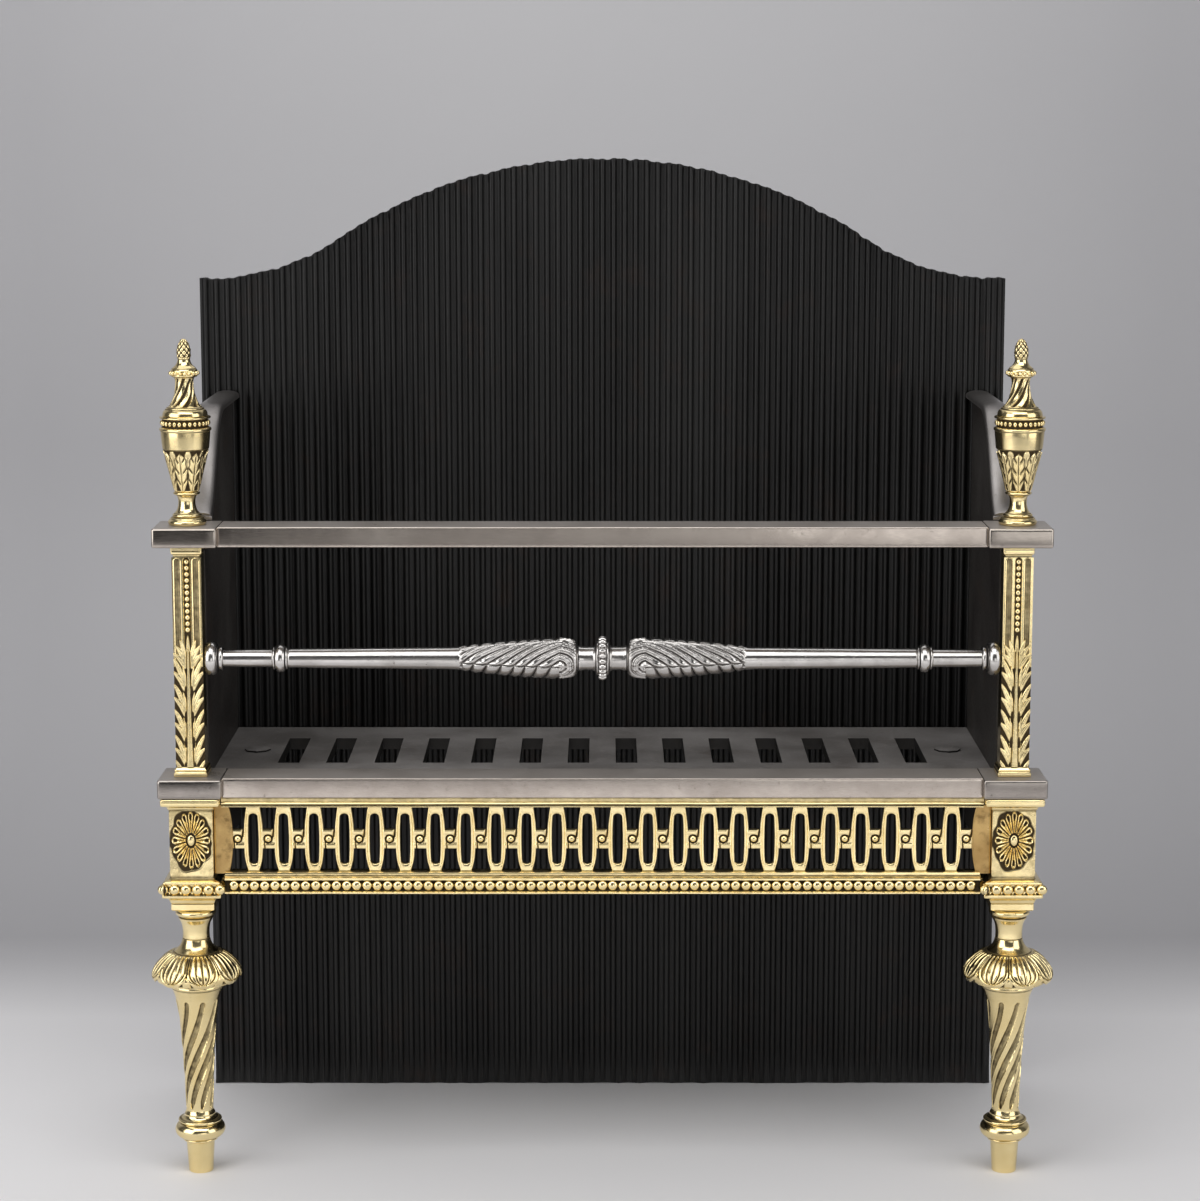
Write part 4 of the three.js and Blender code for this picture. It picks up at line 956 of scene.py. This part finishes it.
def bar_relief(angle, along, radius):
    """Leaves with ribs that are swept back from their vein, and that curl round an eye at their root."""
    far = np.abs(along)
    reach = np.clip(far - BAR_LEAF_START, 0, BAR_LEAF_LENGTH)
    across = folded(angle - BAR_LEAF_TURN, TAU / BAR_LEAVES) * radius
    side = np.abs(across)
    past_eye = np.maximum(EYE - reach, 0)
    upper = (across < 0) | (past_eye > 0)
    out = np.where(upper, np.hypot(across, past_eye) / 25, unit(across / 26))
    swept = np.where(upper, np.maximum(reach, EYE) + 38 * out ** 1.25, reach - 8.2 * out)
    part = (swept + 1.2 * np.sin(reach / 8 + 0.6)) / RIB_PITCH
    frac = part - np.floor(part)
    near = np.minimum(frac, 1 - frac) * RIB_PITCH
    slope = np.where(upper, 1 / np.sqrt(1 + (1.95 * out ** 0.25) ** 2), 0.92)
    cut = bump(near * slope, 0, np.where(upper, 0.5, 0.8)) * smooth(0.4, 1.4, side)
    fine = (0.5 + 0.5 * np.cos(TAU * part * 3)) ** 3 * upper * smooth(0.15, 0.45, out)
    vein = bump(across, 0, 0.65) * smooth(11, 15, reach)
    seam = bump(radius * math.pi / BAR_LEAVES, side, 0.8)
    rounding = np.sin(math.pi * frac)
    curl = upper * bump(side, 2.4, 1.5) * rounding ** 2
    fall = np.where(upper, 1 - 0.35 * out, dome(np.clip(out - 0.42, -1, 1), 0.6))
    rise = 0.25 + 0.75 * rounding ** 0.6 * fall - 0.35 * fine + 0.5 * curl
    rise *= 1 - darkest(cut, vein, 0.3 * seam)
    zone = smooth(21.8, 24, far) * smooth(119, 116, far)
    scallop = reach - 7 * np.abs(np.sin(angle * 4))
    on_leaf = zone * (1 - smooth(92, 97, scallop))
    # The last term darkens the upper half of each leaf: painted shade; the cuts, vein, seam and fine ribs are
    # dark in their grooves.
    dark = darkest(0.95 * cut, 0.9 * vein, 0.6 * seam, 0.6 * fine, upper * 0.22 * smooth(0.1, 0.6, out))
    grooves = [0.75 * bump(far, groove, 0.5) for groove in (3.2, 5.6, 19.8, 262.4, 270.6, 318.1)]
    dark = darkest(on_leaf * dark, 0.8 * zone * bump(scallop, 92, 1.2), *grooves, 0.9 * (far < 3.1))
    return on_leaf * (1.9 * rise - 1.6), dark


def turned_bar():
    half = outline(
        (16.2, 0), (16.2, 3), (14, 3.3), (14.1, 5, 0.25), (12.4, 5.6), (11, 6.1),
        [(10.2, 8), (10, 11), (10, 16), (10.5, 18.4), (10.5, 19.6)], (9.7, 19.9), (11, 20.3), 0.5,
        [(13.8, 21.8), (16, 25.5), (17, 33), (16.9, 45), (15.9, 62), (14.2, 82), (12.3, 100), (10.6, 113),
         (9.6, 119), (9.3, 126)], 1.6, (8, 259.8), (7.7, 260.2), (9, 260.6), (9, 262.2, 0.3), (8.4, 262.5),
        (10.4, 262.9), (10.4, 270.1, 0.2), (8.4, 270.5), (9, 270.9), (9, 272.8, 0.3), (7.4, 273.4),
        (7.3, 313.4), (9.2, 314), (9.2, 317.4, 0.25), (8.2, 317.9), (11.9, 318.9), (11.9, 328.4, 0.26),
        (10.6, 329))
    run = np.vstack((half[1:][::-1] * np.array((1, -1)), half))
    chunks = [turned(run, bar_relief, 208), *bead_ring(22, 16.3, 0, 2.3, (1, 0.9, 1.5))]
    centre = (0, AXIS_Y, middle("turned_bar")[2])
    piece("carved_bar", [lying(chunk, centre) for chunk in chunks], BRIGHT, ["turned_bar"])


turned_bar()


# Frieze: pierced fret between its two mouldings

OVALS = 24
OVAL_PITCH = 2 * (AXIS_X - 38.5) / OVALS
OVAL_POINTS = 96
FRET_Y = FRONT_Y + 12
FRET_FOOT = 264.3
FRET_HEAD = 319.2
FRET_OVERLAP = 1.4
FRET_MIDDLE = (FRET_FOOT + FRET_HEAD) / 2
LINK_HALF = 7.96
BAND_REACH = 7.85
# Section of the band from its slot outwards: (share of its width, depth, recess)
BAND_SECTION = ((0, 5, 1), (0, 0.9, 0.4), (0.04, 0.4, 0.1), (0.1, 0.1, 0), (0.3, 0, 0), (0.48, 0.05, 0),
                (0.56, 0.36, 0.32), (0.64, 0.05, 0), (0.8, 0, 0), (0.9, 0.12, 0.05), (0.96, 0.4, 0.2),
                (1, 0.9, 0.4), (1, 5, 1))


def flank(height):
    """Half width of an oval's outer edge at a height above or below the fret's middle."""
    share = unit((np.abs(height) - LINK_HALF) / (FRET_HEAD - FRET_MIDDLE - LINK_HALF))
    return BAND_REACH - 2.85 * share ** 1.9, share


def link_relief(x, z):
    """Running scroll of one link: a button in a dark ring, the ribbon over it and the one below."""
    away = np.hypot(x + 0.5, z)
    upper = bump(x - 3.25 - 0.14 * z, 0, 0.8) * smooth(0.2, 1.4, z)
    lower = bump(x + 3.5 + 0.05 * z, 0, 0.5) * smooth(-1.2, -2.4, z)
    sunk = np.maximum(np.maximum(upper, lower) * (away > 2.7), smooth(4, 3.65, away))
    rolled = 0.65 * dome(np.abs(z) - 5.9, 2.6) - 0.1
    rise = rolled - 1.5 * sunk - 0.5 * smooth(5, 6, np.abs(x))
    button = away < 2.75
    rise = np.where(button, 2.4 * dome(away, 2.85) - 1.1, rise)
    return rise, np.where(button, smooth(2.3, 2.75, away), sunk)


def oval_band():
    """One oval of the fret: a band with rolled edges round its slot, reaching behind both mouldings."""
    head = FRET_HEAD + FRET_OVERLAP - FRET_MIDDLE
    inner = []
    outer = []
    for turn in ring_angles(OVAL_POINTS):
        across, up = math.cos(turn), math.sin(turn)
        centre = 17.1 * max(-1, min(1, up * 1.9))
        reach = 4
        while reach < 30:
            high = abs(centre + reach * up)
            wide, share = flank(high)
            tail = 0.45 * smooth(0.5, 1, share) * (1 if up < 0 else -1)
            if abs(reach * across) > wide - tail or high > head:
                break
            reach += 0.02
        inner.append((4.1 * across, FRET_MIDDLE + centre + 4.3 * up))
        outer.append((reach * across, FRET_MIDDLE + centre + reach * up))
    inner = np.array(inner)
    outer = np.array(outer)
    at_flank = smooth(0.35, 0.8, np.abs(np.cos(ring_angles(OVAL_POINTS))))
    points = []
    recess = []
    for share, depth, dark in BAND_SECTION:
        ring = inner + (outer - inner) * share
        fade = at_flank if 0.4 < share < 0.7 else np.ones(OVAL_POINTS)
        points.append(np.column_stack((ring[:, 0], depth * fade, ring[:, 1])))
        recess.append(dark * fade)
    faces = grid_faces(len(BAND_SECTION), OVAL_POINTS, True)
    last = (len(BAND_SECTION) - 1) * OVAL_POINTS
    faces += [(last + i, last + j, j, i) for i, j in neighbours(OVAL_POINTS)]
    return np.vstack(points), faces, np.concatenate(recess)


def end_plate(half):
    """Plain plate between the last link and the right die, with a swept inner edge."""
    def relief(share, z):
        rim = np.minimum(np.minimum(share, 1 - share) * 14, 1)
        return 0.5 * np.sqrt(rim) - 0.4, 0.35 * smooth(0.3, 0, rim)

    heights = np.linspace(FRET_FOOT - 2, FRET_HEAD + FRET_OVERLAP, 60)
    points, faces, recess = panel(np.linspace(0, 1, 24), heights, 0, relief, 5)
    edge = (OVALS + 1) / 2 * OVAL_PITCH - flank(points[:, 2] - FRET_MIDDLE)[0]
    points[:, 0] = edge + (half - edge) * points[:, 0]
    return points, faces, recess


def fret():
    half = AXIS_X - 18.7
    band = oval_band()
    chunks = [moved(band, ((i - (OVALS - 1) / 2) * OVAL_PITCH, FRET_Y, 0)) for i in range(OVALS)]
    patch = panel(np.linspace(-6, 6, 41), np.linspace(-LINK_HALF, LINK_HALF, 50), 0, link_relief, 4.5)
    for i in range(OVALS + 1):
        chunks.append(moved(patch, ((i - OVALS / 2) * OVAL_PITCH, FRET_Y + 0.1, FRET_MIDDLE)))
    plate = end_plate(half)
    chunks += [moved(chunk, (0, FRET_Y, 0)) for chunk in (plate, mirrored(plate))]
    thing = piece("pierced_fret", chunks, BRASS, ["fret_panel"])
    thing.data.materials.append(BRASS_WORN)
    for face in thing.data.polygons:
        if abs(face.center[0]) > (half - 15.8) * MM:
            face.material_index = 1


MOULDING_COLUMNS = 90
CORNICE = ((21, 319.25, 0.3), (9.6, 319.25, 0.6), (9.1, 319.5, 0), (9, 320, 0), (9.3, 320.6, 0.1),
           (10.4, 320.8, 0.8), (10.5, 321.2, 0.7), (9.7, 321.5, 0.2), (8.9, 322, 0), (8.8, 322.8, 0),
           (9.4, 323.6, 0.05), (10.2, 323.9, 0.5), (10, 325.6, 0.4), (9.8, 326.9, 0.6), (21, 326.9, 0.3))
BEAD_RAIL = ((21, 246.4, 0), (5.4, 246.4, 0.2), (4.8, 246.9, 0), (4.8, 247.8, 0), (5.6, 248.4, 0.4),
             (8.4, 248.9, 0.95), (9.2, 251, 0.95), (9.2, 256, 0.95), (8.6, 257.2, 0.95), (6.2, 257.6, 0.4),
             (5.5, 258.1, 0), (5.5, 259.4, 0), (6.4, 260.2, 0.15), (8.4, 260.9, 0.5), (8.9, 261.4, 0.9),
             (8.7, 262, 0.2), (8.8, 262.6, 0), (8.9, 263.8, 0), (9.6, 264.2, 0.6), (21, 264.2, 0))
BEAD_PITCH = 8.52
BEAD_Z = 253.1


def moulding(section, half, seed):
    """Section of (depth, height, recess) run across the front, a little uneven but for its back."""
    random = np.random.default_rng(seed)
    number = np.arange(MOULDING_COLUMNS)
    sway = np.interp(number, number[::3], random.uniform(-0.12, 0.12, len(number[::3])))
    rings = []
    for x, shift in zip(np.linspace(-half, half, MOULDING_COLUMNS), sway):
        for depth, height, _ in section:
            moves = shift * (depth < 12)
            rings.append((x, FRONT_Y + depth + moves, height + moves * 0.5))
    recess = np.tile([dark for _, _, dark in section], MOULDING_COLUMNS)
    return closed_rings(np.array(rings), len(section), recess)


def mouldings():
    piece("fret_cornice", [moulding(CORNICE, AXIS_X - 25.2, 5)], BRASS, ["fret_top_moulding"])
    half = AXIS_X - 27.5
    chunks = [moulding(BEAD_RAIL, half, 6)]
    count = int(2 * (half - 3.4) // BEAD_PITCH)
    random = np.random.default_rng(12)
    for i in range(count + 1):
        jitter = random.uniform(-0.15, 0.15, 2)
        centre = ((i - count / 2) * BEAD_PITCH + jitter[0], FRONT_Y + 7.5, BEAD_Z + jitter[1])
        chunks.append(sphere(centre, 4.15, scale=(1.01, 0.63, 1.05)))
    piece("beaded_moulding", chunks, BRASS, ["fret_bead_moulding"])


fret()
mouldings()


# Solids that keep their own shape get their finish

def refinish(names, material):
    for name in names:
        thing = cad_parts[name]
        thing.data.materials.clear()
        thing.data.materials.append(material)


refinish(["left_cheek", "right_cheek"], DARK_IRON)
refinish([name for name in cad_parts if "bolt" in name or "nut" in name or "tie_rod" in name], DARK_IRON)
refinish(["grate_plate", "left_grate_bolt", "right_grate_bolt"], GRATE_IRON)


# Stage: pale floor swept up into a backdrop that carries painted shade, in metres

FLOOR = (0.8, 0.79, 0.8)
# Darker backdrop tones than the floor: painted shade on the upright part of the sweep, darker still towards
# its sides.
SHADED_WALL_LOW = (0.475, 0.47, 0.485)
SHADED_WALL_HIGH = (0.51, 0.505, 0.515)
SHADED_WALL_EDGE = (0.36, 0.355, 0.37)
SWEEP_HALF = 3.5
SWEEP_FRONT = -2.6
SWEEP_TURN = 0.55
SWEEP_RADIUS = 0.5
SWEEP_TOP = 3.2
SWEEP_STEPS = 16

# Name, place, aim, width, height, watts, spread in degrees
LAMPS = (("softbox_left", (-1.75, -1.25, 1.05), (0, 0, 0.55), 1.7, 1.9, 23, 180),
         ("softbox_right", (1.85, -1.15, 1.05), (0, 0, 0.55), 1.5, 1.9, 15, 180),
         ("softbox_top", (-0.35, 0.35, 2.4), (0, 0.05, 0.2), 2.5, 1.5, 13, 180),
         ("softbox_front", (0, -1.5, 2.45), (0, 0, 0.3), 2.8, 1.5, 35, 180),
         ("floor_glow", (0, -1.35, 1.15), (0, -1.25, 0), 2.4, 0.5, 4.2, 70),
         ("far_card", (1.25, -3.9, 0.35), (0, 0, 0.5), 1.8, 1.1, 8.5, 180),
         ("middle_card", (-0.1, -3.95, 0.35), (0, 0, 0.5), 1, 1.1, 1.4, 180))
SKY = (0.42, 0.42, 0.43, 1)
SKY_STRENGTH = 0.18

# The camera that was solved from the photo
CAMERA_AWAY = 2437.3
CAMERA_HEIGHT = 0.8818
CAMERA_DOWN = 9.03
CAMERA_LENS = 90.6
CAMERA_SHIFT = -2.5 / 1200


def paper():
    """Sheet that is seen through from behind, so that the object can be looked at from every side."""
    n = Nodes("paper_sweep")
    across, back, up = n.axes(n.place)
    # The upright part is painted darker than the floor, and darker towards the sides: painted shade.
    shaded_wall = n.mix(n.range(up, 0.1, 1.25), SHADED_WALL_LOW, SHADED_WALL_HIGH)
    edge_shade = n.math("MULTIPLY", across, across)
    shaded_wall = n.mix(n.range(edge_shade, 0, 0.45, 0, 0.6), shaded_wall, SHADED_WALL_EDGE)
    tone = n.mix(n.range(back, 0.34, 0.62), FLOOR, shaded_wall)
    tone = n.mix(n.range(n.noise(3, 3, 0.5), 0.3, 0.7, 0, 0.03), tone, FLOOR)
    open_back = n.new("MixShader")
    clear = n.new("BsdfTransparent").outputs["BSDF"]
    n.fill(open_back.inputs, n.geometry("Backfacing"), n.shader.outputs["BSDF"], clear)
    n.feed(n.tree.nodes["Material Output"].inputs["Surface"], open_back.outputs["Shader"])
    return n.finish(tone, 0.75, 0)


def stage():
    run = [(SWEEP_FRONT, 0), (SWEEP_TURN, 0)]
    for i in range(1, SWEEP_STEPS + 1):
        angle = i / SWEEP_STEPS * QUARTER
        run.append((SWEEP_TURN + SWEEP_RADIUS * math.sin(angle), SWEEP_RADIUS * (1 - math.cos(angle))))
    run.append((SWEEP_TURN + SWEEP_RADIUS, SWEEP_TOP))
    verts = [(x, y, z) for y, z in run for x in (-SWEEP_HALF, SWEEP_HALF)]
    faces = [(2 * i, 2 * i + 1, 2 * i + 3, 2 * i + 2) for i in range(len(run) - 1)]
    mesh = bpy.data.meshes.new("sweep")
    mesh.from_pydata(verts, [], faces)
    mesh.polygons.foreach_set("use_smooth", [True] * len(mesh.polygons))
    mesh.materials.append(paper())
    linked("sweep", mesh)


def lamps():
    for name, place, aim, width, height, watts, spread in LAMPS:
        data = bpy.data.lights.new(name, "AREA")
        data.shape = "RECTANGLE"
        data.size = width
        data.size_y = height
        data.energy = watts
        data.spread = math.radians(spread)
        thing = linked(name, data)
        thing.location = place
        thing.rotation_euler = (Vector(aim) - Vector(place)).to_track_quat("-Z", "Y").to_euler()
    world = bpy.data.worlds.new("studio")
    world.use_nodes = True
    background = world.node_tree.nodes["Background"]
    background.inputs["Color"].default_value = SKY
    background.inputs["Strength"].default_value = SKY_STRENGTH
    bpy.context.scene.world = world
    bpy.context.scene.view_settings.view_transform = "Standard"


def camera():
    data = bpy.data.cameras.new("camera")
    data.lens = CAMERA_LENS
    data.sensor_width = 36
    data.sensor_fit = "HORIZONTAL"
    data.shift_x = CAMERA_SHIFT
    data.clip_end = 20
    thing = linked("camera", data)
    thing.location = (0, (FRONT_Y - CAMERA_AWAY) * MM, CAMERA_HEIGHT)
    thing.rotation_euler = (math.radians(90 - CAMERA_DOWN), 0, 0)
    bpy.context.scene.camera = thing


stage()
lamps()
camera()

bpy.context.view_layer.update()
